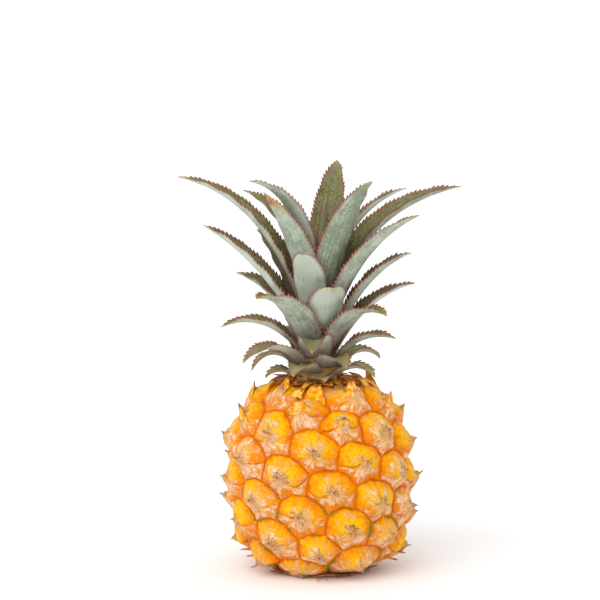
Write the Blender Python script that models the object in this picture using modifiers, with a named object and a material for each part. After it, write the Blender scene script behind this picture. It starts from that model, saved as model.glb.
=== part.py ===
"""A small pineapple standing upright: the ripe fruit, its crown's short stem and the crown's leaves.

Units are metres with +Z up. The origin is in the flat spot that the fruit rests on, straight below the middle
of its waist. The front of the fruit faces -Y.
"""

import math
import random

import bmesh
import bpy
from mathutils import Matrix, Vector
from mathutils.geometry import delaunay_2d_cdt

MM = 0.001
GAP = 0.3 * MM

# The fruit is a squarish egg of revolution, to the bottom of the grooves, with its eyes standing on it.
FRUIT_RADIUS = 43.2 * MM
FRUIT_TOP, FRUIT_BOTTOM = 49.3 * MM, 46.0 * MM
TOP_SQUARENESS, BOTTOM_SQUARENESS = 2.78, 2.61
WAIST_HEIGHT = 45.2 * MM
FRUIT_LEAN = math.radians(-3.3)
CUTTER_REACH = 60 * MM

# Eyes follow one spiral round the fruit, with this turn and rise from each eye to the next.
DIVERGENCE = math.radians(137.65)
EYE_RISE = 1.47 * MM
EYE_ZERO_HEIGHT = 1.4 * MM
EYE_ZERO_TURN = math.radians(-90 + 7.6)
LOWEST_EYE, HIGHEST_EYE = -30, 31
EYE_RINGS = (0.12, 0.38, 0.64, 0.86)
EYE_DOME = 3.7 * MM
DOME_POWER = 3.0
EYE_PEAK = 2.2 * MM
PEAK_POWER, PEAK_POWER_SPREAD = 2.6, 1.1
SPINE_HEIGHT = 1.3 * MM
SPINE_LIFT = 1.6 * MM
LIFT_POWER = 2.0
EYE_UNEVENNESS = 0.12
UNDERSIDE_SQUASH = 0.65
SQUASH_START = 0.75
BORDER_BOW = 0.11

# A short neck rises from the top of the fruit to a level seat, where the crown's stem stands.
NECK_RISE = 3.0 * MM
NECK_SHARE = 0.85
SEAT_HEIGHT = 96.0 * MM
SEAT_RADIUS = 12.5 * MM

# The crown stands a little to the left of the fruit's middle.
CROWN_X = -1.8 * MM
STEM_FOOT_RADIUS = 10.5 * MM
STEM_TOP_RADIUS = 1.6 * MM
STEM_HEIGHT = 49.0 * MM
STEM_SIDES = 24

# Leaves carry the same spiral on up the stem, from the small bracts at the neck to the heart.
LEAF_ZERO_TURN = math.radians(-90 + 8.3)
LEAF_TURN = math.radians(137.5)
LEAF_FOOT_HEIGHT = 97.6 * MM
LEAF_RISE = 0.75 * MM
LEAF_RISE_GROWTH = 0.0105 * MM
LEAF_THICKNESS = 1.1 * MM
LEAF_EDGE_SHARE = 0.35
CHORD_SAG = 0.4 * MM
FOOT_CLEARANCE = GAP + LEAF_THICKNESS / 2 + CHORD_SAG
LEAF_MOST_WRAP = math.radians(60)
LEAF_WRAPPED_SHARE = 0.35
FIRST_SWELL, LAST_SWELL = 0.6, 3.6

# How finely the meshes are made.
LEAF_CELLS_ACROSS = 4
LONG_LEAF_TIP = 130 * MM
LONG_LEAF_CELLS, SHORT_LEAF_CELLS = 9, 7
EDGE_TOLERANCE = 0.001
MAP_TOLERANCE = 1e-9
WELD = 0.01 * MM
SHARP_EDGE = math.radians(50)


class Leaf:
    """One leaf of the crown. Its tip is reach mm out from the crown's axis and tip mm above the ground.
    It leaves the stem at root_lean degrees from upright, and bow is the share of its span to the arch's knee.
    width is in mm, and channel is the half angle of its gutter in degrees. A small taper makes a blunt tip,
    and sway turns the whole leaf about the crown's axis, in degrees."""

    def __init__(self, reach, tip, root_lean, bow, width, channel, taper=0.85, sway=0):
        self.reach = reach * MM
        self.tip = tip * MM
        self.root_lean = math.radians(root_lean)
        self.bow = bow
        self.width = width * MM
        self.channel = math.radians(channel)
        self.taper = taper
        self.sway = math.radians(sway)


# From the lowest leaf to the innermost. The leaves in front and at the sides follow the photographed crown.
LEAVES = (
    Leaf(24, 99, 64, 0.75, 14, 35),
    Leaf(26, 99, 64, 0.75, 14, 35),
    Leaf(26.5, 98, 64, 0.75, 14, 35),
    Leaf(33, 100, 58, 0.75, 14, 35),
    Leaf(31, 101, 56, 0.75, 15, 38),
    Leaf(29, 102, 54, 0.75, 15, 38),
    Leaf(35, 105, 48, 0.75, 15, 40),
    Leaf(35, 99, 52, 0.75, 15, 40),
    Leaf(30, 106, 46, 0.75, 16, 40),
    Leaf(38, 107, 46, 0.75, 15, 42),
    Leaf(44, 108.5, 50, 0.7, 15, 42),
    Leaf(40, 118, 42, 0.65, 15, 44),
    Leaf(33, 117, 38, 0.7, 16, 44),
    Leaf(36, 115, 36, 0.8, 18, 42),
    Leaf(51, 143.5, 29, 0.6, 17, 48, sway=-29),
    Leaf(48, 123, 41, 0.68, 16, 48),
    Leaf(46, 133, 32, 0.75, 17, 48),
    Leaf(48, 136, 36, 0.6, 17, 48),
    Leaf(50, 143, 29, 0.62, 22, 46),
    Leaf(47, 160.5, 24, 0.66, 19, 50, sway=-12),
    Leaf(48, 147, 32, 0.6, 17, 50),
    Leaf(30, 146.5, 24, 0.5, 20, 44, taper=0.5),
    Leaf(52, 160, 28, 0.6, 17, 50),
    Leaf(57.4, 173.5, 30, 0.58, 20, 50, sway=-27),
    Leaf(54, 181.5, 18, 0.6, 22, 50),
    Leaf(47, 168, 26, 0.6, 20, 50, sway=14),
    Leaf(26, 162.5, 14, 0.5, 18, 46, taper=0.5),
    Leaf(76, 191.5, 13, 0.6, 24, 50, sway=-14),
    Leaf(71.5, 197, 17, 0.67, 17, 52),
    Leaf(45, 200, 12, 0.6, 20, 48),
    Leaf(41, 203, 15, 0.5, 18, 38, taper=0.7, sway=-8),
    Leaf(36.5, 193.5, 9, 0.5, 21, 46, taper=0.95, sway=3),
    Leaf(44.5, 193, 7, 0.68, 15, 50),
    Leaf(52, 188, 9, 0.62, 14, 50),
    Leaf(15, 191, 10, 0.5, 6.5, 50, sway=14),
    Leaf(28, 187, 4, 0.55, 10, 50),
    Leaf(42, 199, 3, 0.74, 15, 44, sway=29),
    Leaf(9, 174, 2, 0.5, 6, 50),
    Leaf(7, 170, 1, 0.5, 5, 50),
    Leaf(4, 166, 0, 0.5, 4, 50),
)

COLOURS = {
    "ripe_skin": ((0.90, 0.40, 0.02), 0.45),
    "pale_core": ((0.62, 0.58, 0.38), 0.70),
    "leaf_bloom": ((0.30, 0.38, 0.29), 0.60),
}


def clear_scene():
    """Removes whatever the file holds."""
    for obj in list(bpy.data.objects):
        bpy.data.objects.remove(obj, do_unlink=True)


def new_collection(name):
    collection = bpy.data.collections.new(name)
    bpy.context.scene.collection.children.link(collection)
    return collection


def new_material(name):
    """A Principled material of the named colour and roughness."""
    colour, roughness = COLOURS[name]
    material = bpy.data.materials.new(name)
    material.use_nodes = True
    shader = material.node_tree.nodes["Principled BSDF"]
    shader.inputs["Base Color"].default_value = (*colour, 1)
    shader.inputs["Roughness"].default_value = roughness
    shader.inputs["Metallic"].default_value = 0
    return material


def object_from(work, name, collection, material=None):
    """Turns a bmesh into an object in the collection, shaded smooth between its sharp edges."""
    bmesh.ops.recalc_face_normals(work, faces=work.faces)
    mesh = bpy.data.meshes.new(name)
    work.to_mesh(mesh)
    work.free()
    if material:
        mesh.materials.append(material)
    mesh.shade_smooth()
    mesh.set_sharp_from_angle(angle=SHARP_EDGE)
    obj = bpy.data.objects.new(name, mesh)
    collection.objects.link(obj)
    return obj


def smoothstep(x):
    x = min(max(x, 0.0), 1.0)
    return x * x * (3 - 2 * x)


def half_shape(height):
    """The half height and squareness of the fruit, above its waist or below it."""
    if height > 0:
        return FRUIT_TOP, TOP_SQUARENESS
    return FRUIT_BOTTOM, BOTTOM_SQUARENESS


def on_fruit(point):
    """The point of the fruit's groove surface that lies in this direction from its middle."""
    half_height, power = half_shape(point.z)
    across = math.hypot(point.x, point.y) / FRUIT_RADIUS
    along = abs(point.z) / half_height
    return point / (across**power + along**power) ** (1 / power)


def fruit_normal(point):
    """The outward direction of the fruit's groove surface at a point on it."""
    half_height, power = half_shape(point.z)
    across = math.hypot(point.x, point.y)
    sideways = across ** (power - 2) / FRUIT_RADIUS**power
    upright = abs(point.z) ** (power - 1) / half_height**power
    return Vector((point.x * sideways, point.y * sideways, math.copysign(upright, point.z))).normalized()


def eye_site(number):
    """The middle of an eye on the groove surface, counted up the spiral from eye 0 at the waist's front."""
    height = EYE_ZERO_HEIGHT + EYE_RISE * number
    half_height, power = half_shape(height)
    radius = FRUIT_RADIUS * (1 - (abs(height) / half_height) ** power) ** (1 / power)
    turn = EYE_ZERO_TURN + DIVERGENCE * number
    return Vector((radius * math.cos(turn), radius * math.sin(turn), height))


def flattened(point):
    """A stereographic map of the fruit's surface from its lowest point, in which circles stay circles."""
    direction = point.normalized()
    return Vector((direction.x, direction.y)) / (1 + direction.z)


def joined_sites(sites):
    """Triples of sites that meet at a corner of three cells. The last is the foot, where the map ends."""
    foot = len(sites) - 1
    _, _, faces, *_ = delaunay_2d_cdt([flattened(s) for s in sites[:foot]], [], [], 0, MAP_TOLERANCE)
    around = {(face[i], face[(i + 1) % 3]) for face in faces for i in range(3)}
    rim = [(b, a, foot) for a, b in around if (b, a) not in around]
    return [tuple(face) for face in faces] + rim


def cell_borders(sites):
    """For each site, the corners of its cell in order round it, each in the middle of three joined sites."""
    corners = {}
    for triple in joined_sites(sites):
        middle = on_fruit(sum((sites[i] for i in triple), Vector()) / 3)
        for place, site in enumerate(triple):
            corners.setdefault(site, {})[triple[place - 2]] = (triple[place - 1], middle)
    borders = {}
    for site, steps in corners.items():
        start = neighbour = next(iter(steps))
        ring = []
        while not ring or neighbour != start:
            neighbour, middle = steps[neighbour]
            ring.append(middle)
        borders[site] = ring
    return borders


def eye_height(share, upward, number):
    """How far an eye stands off the groove surface, share of the way from its middle to its border.
    upward is 1 straight above its middle and -1 below it, where the bract slopes up to the peak."""
    dome = EYE_DOME * (1 - share**DOME_POWER)
    peak = EYE_PEAK * (1 - share) ** (PEAK_POWER + PEAK_POWER_SPREAD * upward)
    return (dome + peak) * (1 + EYE_UNEVENNESS * random.Random(number).uniform(-1, 1))


def squash(point):
    """The share of an eye's relief that is left where the fruit's weight presses on it."""
    return 1 - UNDERSIDE_SQUASH * smoothstep((-point.z / FRUIT_BOTTOM - SQUASH_START) / (1 - SQUASH_START))


def border_points(border):
    """The corners of a cell with a point between each two, all on the groove surface. Sides that cross the slope
    are bowed upwards, so that the lower dome swells over the upper one."""
    points = []
    for i, corner in enumerate(border):
        far = border[(i + 1) % len(border)]
        middle = (corner + far) / 2
        over = (far - corner).cross(fruit_normal(on_fruit(middle)))
        points += [corner, on_fruit(middle + over * over.z / over.length * BORDER_BOW)]
    return points


def add_band(work, outer, inner):
    """Joins two rings of as many vertices with quads."""
    for i in range(len(outer)):
        j = (i + 1) % len(outer)
        work.faces.new((outer[i], outer[j], inner[j], inner[i]))


def add_eye(work, vertex_at, site, border, number):
    """Lofts one eye from its border up over its dome to the spine of its bract."""
    normal = fruit_normal(site)
    uphill = (Vector((0, 0, 1)) - normal * normal.z).normalized()
    points = border_points(border)
    rings = [[vertex_at(p) for p in points]]
    for share in reversed(EYE_RINGS):
        ring = []
        for outer in points:
            base = on_fruit(site.lerp(outer, share))
            upward = (outer - site).normalized().dot(uphill)
            raised = fruit_normal(base) * eye_height(share, upward, number)
            lifted = uphill * SPINE_LIFT * (1 - share) ** LIFT_POWER
            ring.append(work.verts.new(base + (raised + lifted) * squash(base)))
        rings.append(ring)
    peak = normal * (eye_height(0, 0, number) + SPINE_HEIGHT) + uphill * SPINE_LIFT
    tip = work.verts.new(site + peak * squash(site))
    for outer, inner in zip(rings, rings[1:]):
        add_band(work, outer, inner)
    for i in range(len(points)):
        work.faces.new((rings[-1][i], rings[-1][(i + 1) % len(points)], tip))


def add_end(work, vertex_at, site, border, rise):
    """Closes an end of the fruit with a plain face, which stands above its border by rise."""
    points = border_points(border)
    outer = [vertex_at(p) for p in points]
    inner = [work.verts.new(on_fruit(site.lerp(p, NECK_SHARE)) + fruit_normal(site) * rise) for p in points]
    add_band(work, outer, inner)
    work.faces.new(inner)


def cut(obj, cutter):
    """Takes the cutter away from the object and keeps it as a hidden helper."""
    cutter.hide_render = True
    cutter.display_type = "WIRE"
    boolean = obj.modifiers.new(cutter.name, "BOOLEAN")
    boolean.operation = "DIFFERENCE"
    boolean.solver = "EXACT"
    boolean.object = cutter


def build_fruit(parts, cutters):
    """The fruit, leaning a little, with a flat spot to stand on and a level seat for the crown."""
    numbers = range(LOWEST_EYE, HIGHEST_EYE + 1)
    neck, foot = Vector((0, 0, FRUIT_TOP)), Vector((0, 0, -FRUIT_BOTTOM))
    sites = [eye_site(n) for n in numbers] + [neck, foot]
    borders = cell_borders(sites)
    work = bmesh.new()
    made = {}

    def vertex_at(point):
        key = tuple(round(c / WELD) for c in point)
        if key not in made:
            made[key] = work.verts.new(point)
        return made[key]

    for place, number in enumerate(numbers):
        add_eye(work, vertex_at, sites[place], borders[place], number)
    add_end(work, vertex_at, neck, borders[len(sites) - 2], NECK_RISE)
    add_end(work, vertex_at, foot, borders[len(sites) - 1], 0)
    bmesh.ops.triangulate(work, faces=work.faces)
    lean = Matrix.Rotation(FRUIT_LEAN, 4, "Y")
    bmesh.ops.transform(work, matrix=Matrix.Translation((0, 0, WAIST_HEIGHT)) @ lean, verts=work.verts)
    fruit = object_from(work, "fruit", parts, new_material("ripe_skin"))

    floor = bmesh.new()
    bmesh.ops.create_cube(floor, size=2 * CUTTER_REACH)
    bmesh.ops.translate(floor, vec=(0, 0, -CUTTER_REACH), verts=floor.verts)
    cut(fruit, object_from(floor, "floor_cutter", cutters))

    seat = bmesh.new()
    bmesh.ops.create_cone(
        seat, cap_ends=True, segments=STEM_SIDES, radius1=SEAT_RADIUS, radius2=SEAT_RADIUS, depth=SEAT_RADIUS
    )
    bmesh.ops.translate(seat, vec=(CROWN_X, 0, SEAT_HEIGHT + SEAT_RADIUS / 2), verts=seat.verts)
    cut(fruit, object_from(seat, "seat_cutter", cutters))
    return fruit


def stem_radius(height):
    """The crown stem's radius at a height above the ground."""
    share = (height - SEAT_HEIGHT) / STEM_HEIGHT
    return STEM_FOOT_RADIUS + (STEM_TOP_RADIUS - STEM_FOOT_RADIUS) * share


def build_stem(parts):
    """The tapered stem that the leaves grow from. It stands on the fruit's seat."""
    work = bmesh.new()
    bmesh.ops.create_cone(
        work,
        cap_ends=True,
        segments=STEM_SIDES,
        radius1=STEM_FOOT_RADIUS,
        radius2=STEM_TOP_RADIUS,
        depth=STEM_HEIGHT,
    )
    bmesh.ops.translate(work, vec=(CROWN_X, 0, SEAT_HEIGHT + GAP + STEM_HEIGHT / 2), verts=work.verts)
    return object_from(work, "crown_stem", parts, new_material("pale_core"))


def leaf_course(leaf, order):
    """The leaf's middle line in the upright plane through the crown's axis: a function of the share along it,
    which gives the distance out and the height, and the direction as (out, up)."""
    foot_height = LEAF_FOOT_HEIGHT + LEAF_RISE * order + LEAF_RISE_GROWTH * order**2
    foot = Vector((stem_radius(foot_height) + FOOT_CLEARANCE, foot_height))
    tip = Vector((leaf.reach, leaf.tip))
    away = Vector((math.sin(leaf.root_lean), math.cos(leaf.root_lean)))
    knee = foot + away * leaf.bow * (tip - foot).length

    def at(share):
        place = foot * (1 - share) ** 2 + knee * 2 * share * (1 - share) + tip * share**2
        heading = ((knee - foot) * (1 - share) + (tip - knee) * share).normalized()
        return place, heading

    return at


def leaf_half_width(leaf, order, share):
    """Broadest at the foot of a low leaf and further up a high one, then drawn out to a point."""
    swell = FIRST_SWELL + (LAST_SWELL - FIRST_SWELL) * order / (len(LEAVES) - 1)

    def breadth(x):
        return (1 - x) ** leaf.taper * (1 + swell * x)

    fullest = max(0, (swell - leaf.taper) / (swell * (leaf.taper + 1)))
    return leaf.width / 2 * breadth(share) / breadth(fullest)


def leaf_point(leaf, order, course, across, share):
    """A point of the leaf's middle sheet. across runs from -1 at one edge to 1 at the other."""
    turn = LEAF_ZERO_TURN + LEAF_TURN * order + leaf.sway
    out = Vector((math.cos(turn), math.sin(turn), 0))
    side = Vector((-math.sin(turn), math.cos(turn), 0))
    up = Vector((0, 0, 1))
    place, heading = course(share)
    inward = up * heading.x - out * heading.y
    half = leaf_half_width(leaf, order, share)

    bend = across * leaf.channel
    curl = half / leaf.channel
    across_gutter = side * math.sin(bend) + inward * (1 - math.cos(bend))
    guttered = out * place.x + up * place.y + across_gutter * curl

    wrap = across * min(half / place.x, LEAF_MOST_WRAP)
    wrapped = (out * math.cos(wrap) + side * math.sin(wrap)) * place.x + up * place.y
    return wrapped.lerp(guttered, smoothstep(share / LEAF_WRAPPED_SHARE)) + Vector((CROWN_X, 0, 0))


def build_leaf(parts, leaf, order, material):
    """One leaf: a sheet in the crown's spiral, given its thickness by Solidify, thinner along its edges."""
    course = leaf_course(leaf, order)
    cells_along = LONG_LEAF_CELLS if leaf.tip > LONG_LEAF_TIP else SHORT_LEAF_CELLS
    work = bmesh.new()
    bmesh.ops.create_grid(work, x_segments=LEAF_CELLS_ACROSS, y_segments=cells_along, size=1)
    for vertex in work.verts:
        vertex.co.y = (vertex.co.y + 1) / 2
    edge = [abs(v.co.x) > 1 - EDGE_TOLERANCE or v.co.y > 1 - EDGE_TOLERANCE for v in work.verts]
    weights = work.verts.layers.deform.verify()
    for vertex, at_edge in zip(work.verts, edge):
        vertex[weights][0] = 0.0 if at_edge else 1.0
        vertex.co = leaf_point(leaf, order, course, vertex.co.x, vertex.co.y)
    bmesh.ops.remove_doubles(work, verts=work.verts, dist=WELD)
    bmesh.ops.triangulate(work, faces=work.faces)

    name = f"leaf_{order + 1:02d}"
    sheet = object_from(work, name, parts, material)
    sheet.vertex_groups.new(name="fleshy")
    solidify = sheet.modifiers.new("thickness", "SOLIDIFY")
    solidify.thickness = LEAF_THICKNESS
    solidify.offset = 0
    solidify.vertex_group = "fleshy"
    solidify.thickness_vertex_group = LEAF_EDGE_SHARE
    return sheet


def main():
    clear_scene()
    parts = new_collection("pineapple")
    cutters = new_collection("cutters")
    build_fruit(parts, cutters)
    build_stem(parts)
    leaf_material = new_material("leaf_bloom")
    for order, leaf in enumerate(LEAVES):
        build_leaf(parts, leaf, order, leaf_material)


main()
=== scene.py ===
"""The looks of a small pineapple: its ripe skin, bracts and dried flowers, and its crown of toothed leaves.

Lengths are in metres with +Z up. The fruit stands on the floor at the origin and its front faces -Y.
"""

import math
import random

import bmesh
import bpy
import numpy as np
from bpy.props import FloatProperty, FloatVectorProperty, PointerProperty
from mathutils import Matrix, Vector, noise
from mathutils.geometry import delaunay_2d_cdt


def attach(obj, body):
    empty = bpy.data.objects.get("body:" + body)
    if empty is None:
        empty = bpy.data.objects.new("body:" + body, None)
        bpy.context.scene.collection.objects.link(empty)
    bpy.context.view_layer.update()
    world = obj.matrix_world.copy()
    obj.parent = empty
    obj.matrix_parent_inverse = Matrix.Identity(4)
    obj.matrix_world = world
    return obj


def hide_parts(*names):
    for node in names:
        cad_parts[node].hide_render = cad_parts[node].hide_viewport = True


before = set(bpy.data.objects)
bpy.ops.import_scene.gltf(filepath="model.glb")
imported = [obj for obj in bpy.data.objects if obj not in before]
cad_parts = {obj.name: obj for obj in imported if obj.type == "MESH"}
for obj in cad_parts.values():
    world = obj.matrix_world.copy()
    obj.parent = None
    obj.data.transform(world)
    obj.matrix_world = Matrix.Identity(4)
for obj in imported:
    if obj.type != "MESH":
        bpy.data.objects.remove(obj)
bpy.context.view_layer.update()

bl_info = {
    "name": "Small Pineapple",
    "version": (1, 0, 0),
    "blender": (4, 5, 0),
    "location": "View3D > Sidebar > Pineapple",
    "description": "Makes the skin, bracts and crown leaves of a small ripe pineapple",
    "category": "Object",
}

MM = 0.001
UP = np.array((0.0, 0.0, 1.0))

# The fruit's groove surface, as in its solid: a squarish egg of revolution that leans a little.
FRUIT_RADIUS = 43.2 * MM
FRUIT_TOP, FRUIT_BOTTOM = 49.3 * MM, 46.0 * MM
TOP_SQUARENESS, BOTTOM_SQUARENESS = 2.78, 2.61
WAIST_HEIGHT = 45.2 * MM
FRUIT_LEAN = math.radians(-3.3)

# The spiral of the eyes and their relief, as in the solid.
DIVERGENCE = math.radians(137.65)
EYE_RISE = 1.47 * MM
EYE_ZERO_HEIGHT = 1.4 * MM
EYE_ZERO_TURN = math.radians(-90 + 7.6)
LOWEST_EYE, HIGHEST_EYE = -30, 31
EYE_DOME = 3.7 * MM
DOME_POWER, DOME_POWER_SPREAD = 2.6, 0.9
EYE_PEAK = 2.2 * MM
PEAK_POWER, PEAK_POWER_SPREAD = 2.6, 1.1
SPINE_LIFT = 1.6 * MM
LIFT_POWER = 2.0
EYE_UNEVENNESS = 0.12
UNDERSIDE_SQUASH = 0.65
SQUASH_START = 0.75
MAP_TOLERANCE = 1e-9

# The neck of the fruit and its level seat, and the crown's stem on it.
NECK_RISE = 3.0 * MM
NECK_SHARE = 0.85
SEAT_HEIGHT = 96.0 * MM
SEAT_RADIUS = 12.5 * MM
CROWN_X = -1.8 * MM
STEM_GAP = 0.3 * MM
STEM_FOOT_RADIUS = 10.5 * MM
STEM_TOP_RADIUS = 1.6 * MM
STEM_HEIGHT = 49.0 * MM

# Heights between which the skin changes: unripe grooves below, smoother shoulders, and the rusty neck, also
# darkened as painted shade under the leaves.
UNRIPE_FROM, UNRIPE_TO = 56 * MM, 24 * MM
SHOULDER_FROM, SHOULDER_TO = 70 * MM, 90 * MM
NECK_SKIN_FROM, NECK_SKIN_TO = 95.5 * MM, 100 * MM

# How the eyes' skin is meshed.
SIDE_STEPS = 12
EYE_RING_COUNT = 22
RING_CROWDING = 0.3
RIM_BOW = 0.11
WELD = 0.02 * MM

# Relief finer than the solid's. The flap is the bract's lower scale, whose edge crosses the eye like
# a smile. It lies over the dome at its point and tucks in under it at the sides.
# Its sizes are shares of the eye's radius, and the heights are real ones.
GROOVE_ROUNDING = 0.2 * MM
FLAP_EDGE, FLAP_TIP, FLAP_TIP_WIDTH, FLAP_SMILE = -0.08, 0.26, 0.17, 0.10
LEAST_SAG, MOST_SAG = 0.02, 0.28
MOST_TUCK = 1.2
TUCK_DEPTH, TUCK_WIDTH, TUCK_REACH = 0.75 * MM, 0.08, 0.7
BULGE_HEIGHT, BULGE_OFFSET, BULGE_WIDTH = 0.45 * MM, 0.17, 0.14
PROUD_HEIGHT, PROUD_WIDTH = 0.8 * MM, 0.2
FLAP_LIFT = 0.6
LEAST_FLAP_SHIFT, MOST_FLAP_SHIFT, FLAP_TILT = -0.07, 0.06, 0.1
CREASE_DEPTH, CREASE_WIDTH = 0.5 * MM, 0.045
KEEL_HEIGHT = 0.35 * MM
KEEL_WIDTH = 0.07
SEPAL_TURNS = (math.radians(48), math.radians(92), math.radians(130))
SEPAL_DEPTH = 0.3 * MM
SEPAL_WIDTH = 0.055
SEPAL_START, SEPAL_END, SEPAL_FADE = 0.12, 0.85, 0.5
MOST_SEPAL_FOLD = 1.3
PUCKER_COUNT = 13
PUCKER_HEIGHT = 0.12 * MM
FLAP_PUCKER = 2.2
PUCKER_REACH = 0.85
BROAD_WARP, BROAD_WARP_SIZE = 0.9 * MM, 9 * MM
FINE_WARP, FINE_WARP_SIZE = 0.34 * MM, 2.6 * MM
WARP_SEED = 5

# Slivers that come closer to the floor than this are left out.
FLOOR_CLEARANCE = 0.4 * MM

# The dry points of the bracts. Those of high eyes are broad and those of low eyes are long. High and low
# are measured from the fruit's middle.
TIP_STEPS = 9
TIP_WIDTH, HIGH_TIP_WIDTH = 2.2 * MM, 6.5 * MM
TIP_THICKNESS = 0.45 * MM
TIP_SINK = 1.8 * MM
TIP_FOLD = 0.45
HIGH_EYES_FROM, HIGH_EYES_TO = 18 * MM, 44 * MM
HIGH_TIP_GAIN, HIGH_TIP_RISE, HIGH_TIP_SINK = 1.5, 0.45, 1.6
LOW_EYES_FROM, LOW_EYES_TO = -26 * MM, -33 * MM
LOW_TIP_GAIN, LOW_TIP_RISE, LOW_TIP_SLIMNESS = 1.9, 0.3, 0.4
# Least and most: length as a share of the usual one, rise uphill, lean aside and bend uphill.
TIP_LENGTHS, TIP_RISES, TIP_LEANS, TIP_BENDS = (0.55, 1.15), (0.45, 0.85), (-0.25, 0.25), (0.1, 0.45)

# The withered flower parts in each eye.
FIBRE_STEPS = 7
FEWEST_FIBRES, MOST_FIBRES = 4, 11
FIBRE_WIDTH, FIBRE_THICKNESS = 0.26 * MM, 0.12 * MM
UPWARD_FIBRES, UPWARD_SPREAD, DOWNWARD_SPREAD = 0.75, 0.13, 0.15

# The dry scales under the fruit.
FOOT_SCALES = 30
FOOT_SCALE_STEPS = 6
FOOT_SCALE_WIDTH = 3.2 * MM
FOOT_SCALE_HEIGHT = 0.8 * MM
# Least and most, in mm: how far out a scale starts, its length and the lift of its tip.
FOOT_SCALE_STARTS, FOOT_SCALE_LENGTHS, FOOT_SCALE_LIFTS = (20, 23.5), (5, 8), (0.1, 2.4)
# Broad scales in front: degrees round from the front, then distance out, length, half width and lift of
# the tip in mm.
BROAD_SCALES = (
    (7, 22, 7, 7.5, 2.6),
    (-36, 21.5, 8, 6, 2.4),
    (-20, 22.5, 6, 4, 1.2),
    (33, 23, 6.5, 4.5, 2.2),
)
# Long dry points low on the fruit's sides: where each starts and ends and its half width, in mm.
DRY_POINTS = (
    ((-31, -11, 11), (-40.5, -10, 11.4), 2.4),
    ((-30, -14, 8.8), (-37.5, -14, 8.8), 2.0),
    ((35, -10, 9.8), (43, -9, 9.4), 2.4),
    ((32, -14, 8), (39, -14, 6.8), 1.8),
)
# Fibres that lie loose in front: where each starts and ends, in mm.
LOOSE_FIBRES = (((-0.6, -25.5, 0.9), (-1.6, -36, 0.75)), ((1.5, -26, 1.0), (3.4, -33.5, 0.75)))

# The dry scales and the orange bracts round the neck.
NECK_SCALES = 48
NECK_SCALE_STEPS = 7
NECK_SCALE_WIDTH, NECK_SCALE_THICKNESS, NECK_SCALE_FOLD = 2.8 * MM, 0.35 * MM, 0.3
NECK_SCALE_LENGTHS = (4.5, 8.5)
NECK_SCALES_FROM, NECK_SCALES_SPREAD = 12.0 * MM, 6.5 * MM
NECK_SCALES_TOP, NECK_SCALES_DROP = 97.2 * MM, 1.0 * MM
NECK_TURN = math.radians(137.5)
NECK_BRACTS = 14
NECK_BRACT_WIDTH, NECK_BRACT_THICKNESS, NECK_BRACT_FOLD = 5.0 * MM, 0.6 * MM, 0.4
NECK_BRACT_ARCH = 3.0 * MM
# Least and most, in mm, of a neck bract's foot and tip: how far out, how high and how far aside.
BRACT_FOOT_OUT, BRACT_FOOT_HEIGHT = (25, 28), (86, 87.5)
BRACT_TIP_OUT, BRACT_TIP_ASIDE, BRACT_TIP_HEIGHT = (16, 19), (-3, 3), (95, 99.5)
# The place in their ring where a bract is missing.
BARE_PLACE = 1

# The crown's spiral, as in the solids.
LEAF_ZERO_TURN = math.radians(-90 + 8.3)
LEAF_TURN = math.radians(137.5)
LEAF_FOOT_HEIGHT = 97.6 * MM
LEAF_RISE = 0.75 * MM
LEAF_RISE_GROWTH = 0.0105 * MM
LEAF_THICKNESS = 1.1 * MM
FOOT_CLEARANCE = 0.3 * MM + LEAF_THICKNESS / 2 + 0.4 * MM
LEAF_MOST_WRAP = math.radians(60)
LEAF_WRAPPED_SHARE = 0.35
FIRST_SWELL, LAST_SWELL = 0.6, 3.6

# How a leaf is meshed: columns from one margin to the other, and rows to each tooth.
COLUMNS = np.array((-1, -0.93, -0.78, -0.55, -0.28, 0, 0.28, 0.55, 0.78, 0.93, 1))
TOOTH_OUT = np.array((0.0, 0.28, 0.66, 1.0))
TOOTH_AHEAD = np.array((0.0, 0.06, 0.22, 0.5))
TOOTHED_SHARE = 0.965
TIP_ROWS = (0.972, 0.979, 0.985, 0.99, 0.994, 0.997, 0.999)
MARGIN_THICKNESS_SHARE = 0.24
TIP_THICKNESS_SHARE = 0.5
TOOTH_START, TOOTH_GROWTH, TOOTH_FADE = 0.05, 0.12, 0.05
FULL_TOOTH_BREADTH, LEAST_TOOTH = 3 * MM, 0.15
LEAST_TOOTH_SIZE, MOST_TOOTH_SIZE = 0.65, 1.15
WAVE_HEIGHT = 0.4 * MM
WAVE_LENGTH = 13 * MM
COURSE_SAMPLES = 200

# How the crown's stem is meshed, with the scars of its leaves.
STEM_SIDES = 32
STEM_RINGS = 40
SCAR_DEPTH = 0.25 * MM

# The floor, the broad light and the camera, which looks at the place given by its x and z.
CAMERA_DISTANCE = 1.6
SENSOR_WIDTH = 36.0
FRAME_WIDTH = 0.3
VIEW_X = -10.3 * MM
VIEW_Z = 136.6 * MM
FLOOR_SIZE = 60.0
DUST = (0.7, 0.7, 0.7)
SUN_FROM = Vector((-0.55, -0.9, 0.9))
SUN_BREADTH = math.radians(60)


def paint(red, green, blue):
    """A colour given by its eight-bit screen values, as the linear values that shaders mix."""
    return tuple(
        v / 255 / 12.92 if v < 10.3 else ((v / 255 + 0.055) / 1.055) ** 2.4 for v in (red, green, blue)
    )


def colour_choice(name, description, *screen):
    return FloatVectorProperty(
        name=name, description=description, subtype="COLOR", size=3, min=0, max=1, default=paint(*screen)
    )


def length_choice(name, description, millimetres, least=0.0, most=10.0):
    return FloatProperty(
        name=name,
        description=description,
        default=millimetres * MM,
        min=least * MM,
        max=most * MM,
        unit="LENGTH",
    )


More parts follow.
